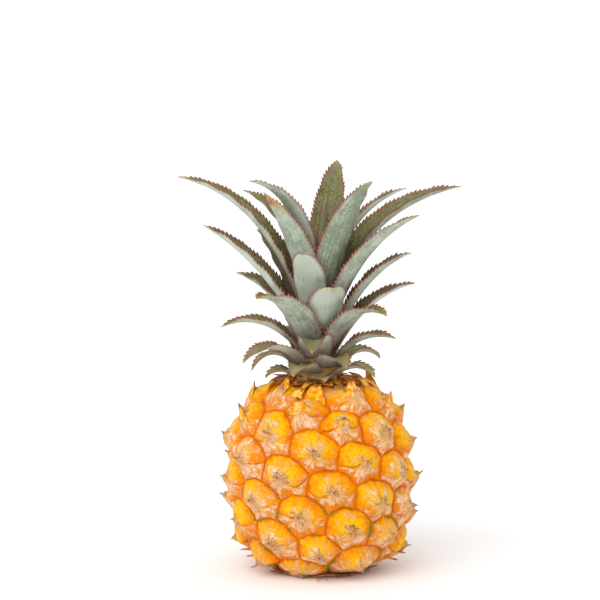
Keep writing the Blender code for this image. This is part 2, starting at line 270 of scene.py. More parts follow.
class FruitSettings(bpy.types.PropertyGroup):
    """Sizes and colours of the fruit."""

    yellow: colour_choice("Yellow", "Palest ripe skin on the domes", 250, 188, 4)
    # Amber also deepens each dome's sides and lower part as painted shade.
    amber: colour_choice("Amber", "Deeper ripe skin", 232, 132, 2)
    # Groove also lines the creases under the domes as painted shade.
    groove: colour_choice("Groove", "Skin in the grooves between the eyes", 202, 94, 2)
    green: colour_choice("Green", "Unripe skin where grooves meet, low on the fruit", 128, 118, 16)
    paper: colour_choice("Paper", "Dry papery skin of the bracts", 228, 164, 88)
    # Cream also dots the domes as pale painted glints.
    cream: colour_choice("Cream", "Palest ribs of the dry skin", 246, 212, 176)
    ash: colour_choice("Ash", "Dried flower parts in the middle of an eye", 168, 136, 132)
    # Rust also darkens the neck's skin, partly as painted shade under the leaves.
    rust: colour_choice("Rust", "Dry red-brown scales at the neck", 142, 50, 30)
    clay: colour_choice("Clay", "Dry pinkish scales at the foot", 212, 132, 98)
    bark: colour_choice("Bark", "Darkest dry tips", 92, 52, 38)
    tip_length: length_choice("Tip Length", "How far a bract's dry tip stands off its eye", 1.7)
    fibre_length: length_choice("Fibre Length", "Length of the longest dried flower parts", 4.6)


class CrownSettings(bpy.types.PropertyGroup):
    """Sizes and colours of the crown."""

    bloom: colour_choice("Bloom", "Silvery outside of the leaves", 194, 204, 187)
    sage: colour_choice("Sage", "Darker green between the silvery streaks", 128, 139, 115)
    olive: colour_choice("Olive", "Inside of the leaves", 102, 106, 52)
    shade: colour_choice("Shade", "Darkest green inside the leaves", 62, 66, 30)
    moss: colour_choice("Moss", "Paler green inside the leaves", 134, 132, 92)
    plum: colour_choice("Plum", "Purple-brown tint on the leaves", 124, 98, 86)
    margin: colour_choice("Margin", "Red-brown line and teeth along the leaves", 138, 70, 62)
    yellowed: colour_choice("Yellowed", "Yellow-green leaf tips", 176, 174, 78)
    withered: colour_choice("Withered", "Dry leaf tips and low scales", 192, 146, 96)
    weathered: colour_choice("Weathered", "Tan patches on the lowest, oldest leaves", 194, 182, 132)
    tooth_pitch: length_choice("Tooth Pitch", "Distance from one tooth to the next", 2.3, least=0.5)
    tooth_height: length_choice("Tooth Height", "How far the largest teeth stand out", 1.3, most=5.0)


class StageSettings(bpy.types.PropertyGroup):
    """The floor, the lights and the camera."""

    floor: colour_choice("Floor", "Colour of the floor", 250, 250, 250)
    sun: FloatProperty(name="Sun", description="Strength of the broad main light", default=1.4, min=0)
    surround: FloatProperty(name="Surround", description="Strength of the white room", default=0.92, min=0)
    view_height: FloatProperty(
        name="View Height",
        description="How far the camera looks down on the pineapple",
        default=math.radians(8),
        subtype="ANGLE",
    )


class Recipe:
    """A material's node tree, with short ways to add the nodes that these finishes are made of.
    Its colour starts as the one that it is given and is then coated with others."""

    def __init__(self, name, specular, colour):
        self.colour = colour
        self.material = bpy.data.materials.new(name)
        self.material.use_nodes = True
        self.nodes = self.material.node_tree.nodes
        self.links = self.material.node_tree.links
        self.shader = self.nodes["Principled BSDF"]
        self.shader.inputs["Specular IOR Level"].default_value = specular

    def put(self, socket, value):
        if isinstance(value, bpy.types.NodeSocket):
            self.links.new(value, socket)
        else:
            socket.default_value = value

    def attribute(self, name):
        node = self.nodes.new("ShaderNodeAttribute")
        node.attribute_name = name
        return node.outputs["Fac"]

    def position(self):
        return self.nodes.new("ShaderNodeTexCoord").outputs["Object"]

    def height(self):
        node = self.nodes.new("ShaderNodeSeparateXYZ")
        self.links.new(self.position(), node.inputs[0])
        return node.outputs["Z"]

    def vector(self, x, y, z):
        node = self.nodes.new("ShaderNodeCombineXYZ")
        for socket, value in zip(node.inputs, (x, y, z)):
            self.put(socket, value)
        return node.outputs[0]

    def noise(self, scale, detail=4.0, roughness=0.55, distortion=0.0, vector=None):
        """Cloudy values about a half. The scale is the number of blotches to a metre, or to a unit."""
        node = self.nodes.new("ShaderNodeTexNoise")
        self.links.new(vector or self.position(), node.inputs["Vector"])
        node.inputs["Scale"].default_value = scale
        node.inputs["Detail"].default_value = detail
        node.inputs["Roughness"].default_value = roughness
        node.inputs["Distortion"].default_value = distortion
        return node.outputs["Fac"]

    def math(self, operation, *values):
        node = self.nodes.new("ShaderNodeMath")
        node.operation = operation
        for socket, value in zip(node.inputs, values):
            self.put(socket, value)
        return node.outputs[0]

    def blend(self, *parts):
        """The sum of values, each given with its weight."""
        total = 0.0
        for value, weight in parts:
            total = self.math("MULTIPLY_ADD", value, weight, total)
        return total

    def product(self, first, *others):
        for other in others:
            first = self.math("MULTIPLY", first, other)
        return first

    def rise(self, value, start, end):
        """0 at start and 1 at end, smooth between them. The end may lie below the start."""
        node = self.nodes.new("ShaderNodeMapRange")
        node.interpolation_type = "SMOOTHSTEP"
        self.put(node.inputs["Value"], value)
        node.inputs["From Min"].default_value = start
        node.inputs["From Max"].default_value = end
        return node.outputs["Result"]

    def line(self, value, middle, width):
        """1 where the value is at the middle, and 0 from width away."""
        off = self.math("ABSOLUTE", self.math("SUBTRACT", value, middle))
        return self.rise(off, width, width * 0.35)

    def mix(self, share, first, second):
        node = self.nodes.new("ShaderNodeMix")
        node.data_type = "RGBA"
        self.put(node.inputs["Factor"], share)
        for socket, colour in zip((node.inputs[6], node.inputs[7]), (first, second)):
            if not isinstance(colour, bpy.types.NodeSocket):
                colour = (*colour, 1.0)
            self.put(socket, colour)
        return node.outputs[2]

    def patch(self, start, end, *parts):
        """A rise from start to end of a blend, for patches with soft borders."""
        return self.rise(self.blend(*parts), start, end)

    def coat(self, colour, *shares):
        """Lays a colour over the finish so far, as strongly as the product of the shares."""
        self.colour = self.mix(self.product(*shares), self.colour, colour)

    def finish(self, roughness, relief, depth):
        """Joins the colour, the roughness and the fine relief, depth metres deep, to the shader."""
        bump = self.nodes.new("ShaderNodeBump")
        bump.inputs["Distance"].default_value = depth
        self.put(bump.inputs["Height"], relief)
        self.put(self.shader.inputs["Base Color"], self.colour)
        self.put(self.shader.inputs["Roughness"], roughness)
        self.links.new(bump.outputs["Normal"], self.shader.inputs["Normal"])
        return self.material


def add_piece(name, points, faces, material, nodes=(), values=None, corner_values=None):
    """A smooth mesh that rides with the fruit. Its values are what its material reads at each point,
    or at each corner of each face."""
    mesh = bpy.data.meshes.new(name)
    mesh.from_pydata(np.asarray(points).reshape(-1, 3).tolist(), [], faces)
    for label, value in (values or {}).items():
        layer = mesh.attributes.new(label, "FLOAT", "POINT")
        layer.data.foreach_set("value", np.ravel(value).astype(np.float32))
    if corner_values:
        corners = np.zeros(len(mesh.loops), np.int32)
        mesh.loops.foreach_get("vertex_index", corners)
        for label, value in corner_values.items():
            layer = mesh.attributes.new(label, "FLOAT", "CORNER")
            layer.data.foreach_set("value", np.ravel(value)[corners].astype(np.float32))
    mesh.materials.append(material)
    mesh.shade_smooth()
    piece = bpy.data.objects.new(name, mesh)
    bpy.context.scene.collection.objects.link(piece)
    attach(piece, "root")
    if nodes:
        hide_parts(*nodes)
    return piece


def face_outwards(piece, weld=0.0):
    """Turns a piece's faces outwards, once points closer together than weld are joined."""
    work = bmesh.new()
    work.from_mesh(piece.data)
    if weld:
        bmesh.ops.remove_doubles(work, verts=work.verts, dist=weld)
    bmesh.ops.recalc_face_normals(work, faces=work.faces)
    work.to_mesh(piece.data)
    work.free()


def directions(turn):
    """The level directions outwards at this turn about the upright axis, and round it."""
    return np.array((math.cos(turn), math.sin(turn), 0)), np.array((-math.sin(turn), math.cos(turn), 0))


def smooth(x):
    """0 for values up to 0 and 1 from 1 on, with a smooth rise between them."""
    x = np.clip(x, 0.0, 1.0)
    return x * x * (3 - 2 * x)


def bell(x, width):
    """1 where x is 0, falling off on both sides over about the width."""
    return np.exp(-((x / width) ** 2))


def unit(vectors):
    """The vectors brought to length 1."""
    length = np.linalg.norm(vectors, axis=-1, keepdims=True)
    return vectors / np.maximum(length, 1e-12)


def ring_faces(first, rings, around, closed=True):
    """Quads between rings of as many points, numbered from first."""
    faces = []
    for ring in range(rings - 1):
        low, high = first + ring * around, first + (ring + 1) * around
        for i in range(around if closed else around - 1):
            j = (i + 1) % around
            faces.append((low + i, low + j, high + j, high + i))
    return faces


def half_shapes(points):
    """The fruit's half heights and squarenesses at these points, above its waist or below it."""
    above = points[..., 2] > 0
    return np.where(above, FRUIT_TOP, FRUIT_BOTTOM), np.where(above, TOP_SQUARENESS, BOTTOM_SQUARENESS)


def on_fruit(points):
    """The points of the groove surface in these directions from the fruit's middle."""
    half_height, power = half_shapes(points)
    across = np.hypot(points[..., 0], points[..., 1]) / FRUIT_RADIUS
    along = np.abs(points[..., 2]) / half_height
    return points / ((across**power + along**power) ** (1 / power))[..., None]


def fruit_normals(points):
    """The outward directions of the groove surface at points on it."""
    half_height, power = half_shapes(points)
    across = np.hypot(points[..., 0], points[..., 1])
    sideways = across ** (power - 2) / FRUIT_RADIUS**power
    upright = np.sign(points[..., 2]) * np.abs(points[..., 2]) ** (power - 1) / half_height**power
    return unit(np.stack((points[..., 0] * sideways, points[..., 1] * sideways, upright), axis=-1))


def squash(points):
    """The share of an eye's relief that is left where the fruit's weight presses on it."""
    low = (-points[..., 2] / FRUIT_BOTTOM - SQUASH_START) / (1 - SQUASH_START)
    return 1 - UNDERSIDE_SQUASH * smooth(low)


def eye_site(number):
    """The middle of an eye on the groove surface, counted up the spiral from the waist's front."""
    height = EYE_ZERO_HEIGHT + EYE_RISE * number
    half_height, power = half_shapes(np.array((0, 0, height)))
    radius = FRUIT_RADIUS * (1 - (abs(height) / half_height) ** power) ** (1 / power)
    turn = EYE_ZERO_TURN + DIVERGENCE * number
    return np.array((radius * math.cos(turn), radius * math.sin(turn), height))


def joined_sites(sites):
    """Triples of sites that meet at a corner of three cells, found on a flat map seen from the fruit's
    lowest point. The last site is the foot, where the map ends."""
    foot = len(sites) - 1
    heads = [s / np.linalg.norm(s) for s in sites[:foot]]
    flat = [Vector((h[0], h[1])) / (1 + h[2]) for h in heads]
    _, _, faces, *_ = delaunay_2d_cdt(flat, [], [], 0, MAP_TOLERANCE)
    around = {(face[i], face[(i + 1) % 3]) for face in faces for i in range(3)}
    rim = [(b, a, foot) for a, b in around if (b, a) not in around]
    return [tuple(face) for face in faces] + rim


def cell_corners(sites):
    """For each site, its cell's corners in order round it, each in the middle of three joined sites."""
    found = {}
    for triple in joined_sites(sites):
        middle = on_fruit(sum(sites[i] for i in triple) / 3)
        for place, site in enumerate(triple):
            found.setdefault(site, {})[triple[place - 2]] = (triple[place - 1], middle)
    corners = {}
    for site, steps in found.items():
        start = neighbour = next(iter(steps))
        ring = []
        while not ring or neighbour != start:
            neighbour, middle = steps[neighbour]
            ring.append(middle)
        corners[site] = np.array(ring)
    return corners


def rim_points(corners):
    """A cell's border with SIDE_STEPS points to each side, the same from both of the cells that share it.
    Sides that cross the slope are bowed upwards, so that the lower dome swells over the upper one."""
    points = []
    steps = np.arange(SIDE_STEPS)[:, None] / SIDE_STEPS
    for start, end in zip(corners, np.roll(corners, -1, axis=0)):
        over = np.cross(end - start, fruit_normals(on_fruit((start + end) / 2)))
        bow = over * over[2] / np.linalg.norm(over) * RIM_BOW
        points.append(start + (end - start) * steps + bow * np.sin(steps * math.pi))
    return on_fruit(np.concatenate(points))


class Eye:
    """One eye of the fruit: its place, its cell's rim, and what sets it apart from its neighbours."""

    def __init__(self, number, site, corners):
        self.number = number
        self.site = site
        self.normal = fruit_normals(site)
        self.uphill = unit(UP - self.normal * self.normal[2])
        self.right = np.cross(self.uphill, self.normal)
        self.rim = rim_points(corners)
        self.radius = np.linalg.norm(self.rim - site, axis=1).mean()
        draw = random.Random(number)
        self.height = 1 + EYE_UNEVENNESS * draw.uniform(-1, 1)
        self.edge_shift = draw.uniform(LEAST_FLAP_SHIFT, MOST_FLAP_SHIFT)
        self.edge_tilt = draw.uniform(-FLAP_TILT, FLAP_TILT)
        self.sags = draw.uniform(LEAST_SAG, MOST_SAG), draw.uniform(LEAST_SAG, MOST_SAG)
        self.tucks = MOST_TUCK * draw.random() ** 2, MOST_TUCK * draw.random() ** 1.2
        self.folds = [draw.uniform(0, MOST_SEPAL_FOLD) for _ in SEPAL_TURNS]
        self.pucker = draw.uniform(0, math.tau)
        self.tone = draw.random()
        self.dry = draw.random()
        self.draw = draw

    def below_edge(self, x, y):
        """How far a place lies below the edge of the bract's flap. It is negative above the edge."""
        tip = FLAP_TIP * np.exp(-((np.abs(x) / FLAP_TIP_WIDTH) ** 1.6))
        sag = np.where(x > 0, *self.sags) * np.sin(np.minimum(np.abs(x), 1) * math.pi)
        return FLAP_EDGE + self.edge_shift + self.edge_tilt * x + tip - sag + FLAP_SMILE * x * x - y

    def tuck(self, x):
        """How strongly the flap tucks in under the dome here. It does so at the sides only."""
        return np.where(x > 0, *self.tucks) * (1 - bell(x, PROUD_WIDTH))

    def fine_relief(self, x, y, below):
        """The flap and its keel, the crease and the bulge above its edge, and the folds of the sepals."""
        step = PROUD_HEIGHT * bell(x, PROUD_WIDTH) - TUCK_DEPTH * self.tuck(x)
        flap = step * smooth(below / TUCK_WIDTH + 0.5) * (1 - smooth(below / TUCK_REACH))
        bulge = BULGE_HEIGHT * self.tuck(x) * bell(below + BULGE_OFFSET, BULGE_WIDTH)
        crease = CREASE_DEPTH * self.tuck(x) * bell(below, CREASE_WIDTH)
        keel = KEEL_HEIGHT * bell(x, KEEL_WIDTH) * smooth(below / TUCK_WIDTH)
        out = np.hypot(x, y)
        sepals = 0
        for turn, strength in zip(SEPAL_TURNS, self.folds):
            beside = x * math.sin(turn) - y * math.cos(turn)
            ahead = x * math.cos(turn) + y * math.sin(turn)
            fold = bell(beside, SEPAL_WIDTH) * smooth(ahead / SEPAL_START)
            sepals = sepals + SEPAL_DEPTH * strength * fold * smooth((SEPAL_END - ahead) / SEPAL_FADE)
        waves = np.sin(np.arctan2(x, -y) * PUCKER_COUNT + self.pucker + 3 * np.sin(4 * out + self.pucker))
        waves = waves * (1 + (FLAP_PUCKER - 1) * smooth(below / TUCK_WIDTH))
        pucker = PUCKER_HEIGHT * waves * smooth(out / 0.1) * smooth((PUCKER_REACH - out) / 0.4)
        return flap + bulge + keel + pucker - crease - sepals

    def skin(self, spokes, share):
        """Points of the skin at a share of the way from the eye's middle to points of its rim,
        with the outward directions and the values that the finish reads there."""
        base = on_fruit(self.site + (spokes - self.site) * share[..., None])
        upward = unit(spokes - self.site) @ self.uphill
        plan = (base - self.site) / self.radius
        x, y = plan @ self.right, plan @ self.uphill
        below = self.below_edge(x, y)
        dome = EYE_DOME * (1 - share ** (DOME_POWER + DOME_POWER_SPREAD * upward))
        peak = EYE_PEAK * (1 - share) ** (PEAK_POWER + PEAK_POWER_SPREAD * upward)
        height = np.hypot((dome + peak) * self.height, GROOVE_ROUNDING) - GROOVE_ROUNDING
        height = height + self.fine_relief(x, y, below) * (1 - share**8)
        on_flap = 1 + FLAP_LIFT * (smooth(below / TUCK_WIDTH) - 0.5)
        lift = self.uphill * (SPINE_LIFT * (1 - share) ** LIFT_POWER * on_flap)[..., None]
        outward = fruit_normals(base)
        points = base + (outward * height[..., None] + lift) * squash(base)[..., None]
        values = {"share": share, "eye_x": x, "eye_y": y, "flap": below, "tuck": self.tuck(x)}
        values["tone"] = np.full(share.shape, self.tone)
        values["dry"] = np.full(share.shape, self.dry)
        return points, outward, values


def warped(points):
    """Points pushed about gently, so that no two eyes are the same."""
    noise.seed_set(WARP_SEED)
    moved = np.empty_like(points)
    for i, point in enumerate(points):
        broad = noise.noise_vector(Vector(point / BROAD_WARP_SIZE)) * BROAD_WARP
        fine = noise.noise_vector(Vector(point / FINE_WARP_SIZE)) * FINE_WARP
        moved[i] = point + np.array(broad + fine)
    return moved


def stood_up(points):
    """Points of the fruit about its middle, leaned and set on the floor, with its flat spot and its seat."""
    lean = np.array(Matrix.Rotation(FRUIT_LEAN, 3, "Y"))
    points = points @ lean.T + (0, 0, WAIST_HEIGHT)
    on_seat = np.hypot(points[:, 0] - CROWN_X, points[:, 1]) < SEAT_RADIUS
    points[:, 2] = np.where(on_seat, np.minimum(points[:, 2], SEAT_HEIGHT), points[:, 2])
    points[:, 2] = np.maximum(points[:, 2], 0)
    return points


def all_eyes():
    """The eyes, and the rims of the neck and of the foot."""
    numbers = range(LOWEST_EYE, HIGHEST_EYE + 1)
    ends = [np.array((0, 0, FRUIT_TOP)), np.array((0, 0, -FRUIT_BOTTOM))]
    sites = [eye_site(n) for n in numbers] + ends
    corners = cell_corners(sites)
    eyes = [Eye(number, sites[i], corners[i]) for i, number in enumerate(numbers)]
    return eyes, rim_points(corners[len(eyes)]), rim_points(corners[len(eyes) + 1])


def ring_shares():
    """Shares of the way out for the rings of an eye, closer together at its rim."""
    steps = np.linspace(1, 0, EYE_RING_COUNT + 1)[:-1]
    return (1 - RING_CROWDING) * steps + RING_CROWDING * np.sin(steps * math.pi / 2)


def end_patch(rim, height, rise):
    """Rings that close an end of the fruit, raised by rise inside its rim."""
    middle = np.array((0, 0, height))
    shares = np.array((1, 0.95, 0.9, NECK_SHARE, 0.6, 0.3))
    rings = on_fruit(middle + (rim[None] - middle) * shares[:, None, None])
    raised = smooth((1 - shares) / (1 - NECK_SHARE)) * rise * math.copysign(1, height)
    rings[..., 2] += raised[:, None]
    return np.concatenate((rings.reshape(-1, 3), [middle + (0, 0, raised[-1])])), len(shares)


def build_fruit_skin(settings):
    eyes, neck_rim, foot_rim = all_eyes()
    shares = ring_shares()
    points, faces, values = [], [], {}
    count = 0

    def add_patch(patch, rings, around, read):
        nonlocal count
        faces.extend(ring_faces(count, rings, around))
        last, middle = count + (rings - 1) * around, count + rings * around
        faces.extend((last + i, last + (i + 1) % around, middle) for i in range(around))
        points.append(patch)
        count += len(patch)
        for label, value in read.items():
            values.setdefault(label, []).append(value)

    for eye in eyes:
        around = len(eye.rim)
        grid = np.repeat(shares, around)
        spokes = np.tile(eye.rim, (len(shares), 1))
        spokes = np.concatenate((spokes, eye.rim[:1]))
        patch, _, read = eye.skin(spokes, np.append(grid, 0.0))
        add_patch(patch, len(shares), around, read)
    for rim, height, rise in ((neck_rim, FRUIT_TOP, NECK_RISE), (foot_rim, -FRUIT_BOTTOM, 0)):
        patch, rings = end_patch(rim, height, rise)
        add_patch(patch, rings, len(rim), {label: np.ones(len(patch)) for label in values})

    points = stood_up(warped(np.concatenate(points)))
    skin = add_piece(
        "fruit_skin",
        points,
        faces,
        ripe_skin_finish(settings),
        nodes=("fruit",),
        corner_values={label: np.concatenate(parts) for label, parts in values.items()},
    )
    face_outwards(skin, WELD)


def ripe_skin_finish(colours):
    """Waxy yellow-orange domes, deeper orange in the grooves, and dry papery bracts over the domes. Painted
    shade deepens the domes' sides and lower parts and the creases under them, and pale painted glints dot the
    domes.
    """
    r = Recipe("ripe_skin", 0.06, colours.yellow)
    names = ("share", "flap", "eye_x", "eye_y", "tone", "dry", "tuck")
    share, flap, x, y, tone, dry, tuck = (r.attribute(n) for n in names)
    height = r.height()
    clouds = r.noise(90, detail=3)
    mottle = r.noise(430, detail=6, roughness=0.62)
    flakes = r.noise(240, detail=7, roughness=0.66, distortion=0.7)
    grain = r.noise(1700, detail=3)
    out = r.math("MAXIMUM", r.math("SQRT", r.math("ADD", r.product(x, x), r.product(y, y))), 0.01)
    number = r.math("MULTIPLY", tone, 23.0)
    fan = r.vector(r.math("DIVIDE", x, out), r.math("DIVIDE", y, out), r.blend((share, 0.6), (number, 1.0)))
    streaks = r.noise(4.2, detail=6, roughness=0.62, distortion=0.35, vector=fan)

    # Ripe flesh, with veins, deeper grooves, and green where the lowest grooves meet. Its amber is partly the
    # flesh's own blotches and partly painted shade on each dome's sides and lower part.
    # Amber set by the eye's height and by the share out is painted shade; amber set by the noises and the
    # tone is the flesh's own colour.
    ripeness_and_shade = r.blend((clouds, 0.5), (mottle, 0.6), (tone, 0.12), (y, -0.24), (share, 0.6))
    r.coat(colours.amber, r.rise(ripeness_and_shade, 0.66, 1.12))
    veins = r.product(r.line(streaks, 0.5, 0.025), r.rise(share, 0.12, 0.4), r.rise(mottle, 0.42, 0.58))
    r.coat(colours.groove, veins, 0.5)
    r.coat(colours.groove, r.patch(1.06, 1.18, (share, 1.0), (mottle, 0.2), (clouds, 0.14)))
    low = r.rise(height, UNRIPE_FROM, UNRIPE_TO)
    at_rim = r.patch(0.96, 1.14, (share, 1.0), (mottle, 0.3))
    r.coat(colours.green, low, r.rise(clouds, 0.5, 0.56), at_rim, 0.85)

    # Dry paper with paler ribs and dusty places.
    inside = r.rise(share, 0.99, 0.84)
    on_flap = r.rise(flap, -0.02, 0.05)
    shoulder = r.rise(height, SHOULDER_FROM, SHOULDER_TO)
    papery = r.blend((streaks, 0.3), (flakes, 0.62), (clouds, 0.2), (on_flap, 0.09), (dry, 0.1))
    papery = r.patch(0.51, 0.6, (papery, 1.0), (share, -0.16), (shoulder, -0.03))
    paper = r.product(papery, inside, r.patch(0.36, 0.5, (mottle, 0.6), (streaks, 0.4)))
    ribs = r.patch(0.46, 0.53, (streaks, 0.3), (grain, 0.4), (mottle, 0.3))
    r.coat(r.mix(ribs, colours.paper, colours.cream), paper, 0.9)
    r.coat(colours.ash, paper, r.patch(0.2, 0.3, (mottle, -0.6), (flakes, 0.5), (grain, 0.5)), 0.3)

    # The edge of the flap with painted shade in the crease where it tucks under the dome, the seam above it
    # and the keel below.
    edge = r.blend((flap, 1.0), (mottle, 0.08), (clouds, 0.06))
    # Deep orange in the crease where the flap tucks in under the dome: painted shade.
    r.coat(colours.groove, r.line(edge, 0.06, 0.05), inside, r.rise(tuck, 0.15, 0.9), 0.7)
    r.coat(colours.cream, r.line(edge, 0.14, 0.05), inside, r.rise(mottle, 0.42, 0.56), tuck, 0.6)
    wander = r.blend((x, 1.0), (clouds, 0.25), (mottle, 0.12), (y, 0.12))
    above = r.product(r.rise(y, -0.1, 0.1), r.rise(y, 0.6, 0.35))
    seam = r.product(r.line(wander, 0.18, 0.03), above, r.rise(dry, 0.2, 0.5))
    r.coat(colours.ash, seam, 0.7)
    keel = r.product(r.line(wander, 0.2, 0.035), r.rise(flap, 0.02, 0.1), r.rise(streaks, 0.45, 0.6))
    r.coat(colours.ash, keel, inside, 0.6)

    # The withered heart of each eye, dark specks, pale painted glints as highlights, and the rusty skin at
    # the neck, also darkened as painted shade under the leaves.
    heart = r.blend((share, 1.0), (y, 0.45), (streaks, -0.3), (flakes, -0.9), (mottle, -0.5), (dry, -0.15))
    heart = r.rise(heart, -0.62, -0.8)
    withering = r.mix(r.patch(0.46, 0.54, (grain, 0.5), (streaks, 0.5)), colours.ash, colours.cream)
    r.coat(r.mix(r.rise(mottle, 0.42, 0.58), withering, colours.paper), heart, 0.8)
    r.coat(colours.bark, r.patch(0.53, 0.58, (grain, 0.6), (mottle, 0.4)), r.rise(share, 0.55, 0.05), 0.85)
    # Pale cream specks on the domes: painted highlights, as glints.
    r.coat(colours.cream, r.patch(0.6, 0.66, (grain, 0.7), (flakes, 0.3)), r.rise(share, 0.9, 0.4), 0.6)
    # The skin at the neck: rusty dry tissue in red-brown and deep orange, which also serves as painted shade
    # under the leaves.
    top = r.patch(NECK_SKIN_FROM, NECK_SKIN_TO, (height, 1.0), (mottle, 6 * MM))
    r.coat(r.mix(r.rise(mottle, 0.45, 0.6), colours.rust, colours.groove), top, 0.75)

    roughness = r.math("ADD", r.blend((paper, 0.3), (heart, 0.2), (mottle, 0.2)), 0.24)
    relief = r.blend((mottle, 0.7), (flakes, 0.8), (grain, 0.35), (paper, 0.35), (streaks, 0.4), (seam, -0.6))
    return r.finish(roughness, relief, 0.5 * MM)


def sliver(path, sides, widths, thicknesses, around=6, fold=0.0):
    """Points of a closed, flattened, tapered strand along a path, with the values that its finish reads.
    A fold bends its sides down into a roof, by that share of its width."""
    ahead = unit(np.gradient(path, axis=0))
    across = unit(sides - (sides * ahead).sum(axis=1, keepdims=True) * ahead)
    above = np.cross(ahead, across)
    turns = np.arange(around) * math.tau / around
    aside, up = np.cos(turns)[None, :, None], np.sin(turns)[None, :, None]
    wide, thick = widths[:, None, None], thicknesses[:, None, None]
    rings = path[:, None] + across[:, None] * aside * wide
    rings = rings + above[:, None] * (up * thick - fold * np.abs(aside) * wide)
    points = np.concatenate((rings.reshape(-1, 3), path[:1], path[-1:]))
    along = np.concatenate((np.repeat(np.linspace(0, 1, len(path)), around), (0, 1)))
    edge = np.concatenate((np.tile(np.abs(np.cos(turns)), len(path)), (0, 1)))
    faces = ring_faces(0, len(path), around)
    last, foot, tip = (len(path) - 1) * around, len(points) - 2, len(points) - 1
    for i in range(around):
        j = (i + 1) % around
        faces.append((j, i, foot))
        faces.append((last + i, last + j, tip))
    return points, faces, {"along": along, "edge": edge}


class Strands:
    """Gathers slivers into one mesh, leaving out those that would touch the floor."""

    def __init__(self):
        self.points, self.faces, self.values = [], [], {}
        self.count = 0

    def add(self, strand, tone, fresh=0.0, loose=False):
        """Adds a sliver that lies on the fruit's skin, or a loose one that is placed where it ends up."""
        points, faces, values = strand
        if not loose:
            points = stood_up(warped(points))
        if points[:, 2].min() < FLOOR_CLEARANCE:
            return
        self.faces += [tuple(v + self.count for v in face) for face in faces]
        self.points.append(points)
        values = {**values, "tone": np.full(len(points), tone), "fresh": np.full(len(points), fresh)}
        for label, value in values.items():
            self.values.setdefault(label, []).append(value)
        self.count += len(points)

    def piece(self, name, material, slot):
        values = {label: np.concatenate(parts) for label, parts in self.values.items()}
        return add_piece(name, np.concatenate(self.points), self.faces, material, values=values)


def build_bract_tips(settings):
    """The dry point of each eye's bract, curving up from the eye's middle. Those near the neck are like
    ears, and those near the foot are long and thin."""
    strands = Strands()
    share = np.linspace(0, 1, TIP_STEPS)[:, None]
    for eye in all_eyes()[0]:
        peak = eye.skin(eye.rim[:1], np.zeros(1))[0][0]
        draw = random.Random(1000 + eye.number)
        pressed = squash(eye.site)
        high = smooth((eye.site[2] - HIGH_EYES_FROM) / (HIGH_EYES_TO - HIGH_EYES_FROM))
        low = smooth((eye.site[2] - LOW_EYES_FROM) / (LOW_EYES_TO - LOW_EYES_FROM))
        gain = 1 + high * HIGH_TIP_GAIN + low * LOW_TIP_GAIN * draw.random()
        length = settings.tip_length * draw.uniform(*TIP_LENGTHS) * gain
        sink = TIP_SINK * (1 + HIGH_TIP_SINK * high) * pressed
        rise = draw.uniform(*TIP_RISES) + HIGH_TIP_RISE * high + LOW_TIP_RISE * low
        aside = eye.right * draw.uniform(*TIP_LEANS)
        aim = unit(eye.normal * (1 - 0.3 * high) + eye.uphill * rise + aside)
        bend = eye.uphill * draw.uniform(*TIP_BENDS) * length
        foot = peak - aim * sink - eye.uphill * (0.7 + high) * MM
        path = foot + aim * (length + sink) * share + bend * share**2
        broad = (TIP_WIDTH + (HIGH_TIP_WIDTH - TIP_WIDTH) * high) * (1 - LOW_TIP_SLIMNESS * low)
        widths = broad * (1 - share[:, 0]) ** (0.9 - 0.15 * high) + 0.05 * MM
        thick = TIP_THICKNESS * (1 - share[:, 0]) ** 0.6 + 0.04 * MM
        strands.add(sliver(path, -eye.right, widths, thick, around=10, fold=TIP_FOLD), eye.dry, high)
    strands.piece("bract_tips", dry_tip_finish("dry_tip", settings, settings.ash), "skin")


def build_foot_scales(settings):
    """Thin dry scales spread under the fruit's lowest eyes, long dry points and a few loose fibres."""
    strands = Strands()
    share = np.linspace(0, 1, FOOT_SCALE_STEPS)[:, None]

    def lay(foot, tip, width, thickness, lift, tone, fold=0.0):
        path = foot + (tip - foot) * share + UP * lift * share**2
        widths = width * (1 - share[:, 0] ** 2) ** 0.6 + 0.06 * MM
        thick = thickness * (1 - share[:, 0]) ** 0.5 + 0.04 * MM
        side = np.cross(unit(tip - foot), UP)
        strands.add(sliver(path, side, widths, thick, around=10, fold=fold), tone, loose=True)

    def spread(turn, sideways, start, length, width, lift, tone):
        out = np.array((math.sin(turn), -math.cos(turn), 0))
        away = unit(out + np.cross(UP, out) * sideways)
        foot = out * start + UP * FOOT_SCALE_HEIGHT
        lay(foot, foot + away * length, width, 0.2 * MM, lift, tone)

    for number in range(FOOT_SCALES):
        draw = random.Random(6000 + number)
        turn = math.tau * (number + draw.uniform(-0.4, 0.4)) / FOOT_SCALES
        start, length = draw.uniform(*FOOT_SCALE_STARTS) * MM, draw.uniform(*FOOT_SCALE_LENGTHS) * MM
        width = FOOT_SCALE_WIDTH * draw.uniform(0.4, 1.0)
        sideways, lift = draw.uniform(-0.4, 0.4), draw.uniform(*FOOT_SCALE_LIFTS) * MM
        spread(turn, sideways, start, length, width, lift, draw.random())
    for number, (turn, *sizes) in enumerate(BROAD_SCALES):
        start, length, width, lift = (size * MM for size in sizes)
        spread(math.radians(turn), 0.1, start, length, width, lift, 0.25 * number)
    for number, (foot, tip, width) in enumerate(DRY_POINTS):
        lay(np.array(foot) * MM, np.array(tip) * MM, width * MM, 0.4 * MM, 0, 0.3 * number, fold=0.4)
    for foot, tip in LOOSE_FIBRES:
        lay(np.array(foot) * MM, np.array(tip) * MM, 0.25 * MM, 0.1 * MM, 0, 0.1)
    strands.piece("foot_scales", dry_tip_finish("foot_scale", settings, settings.clay), "skin")


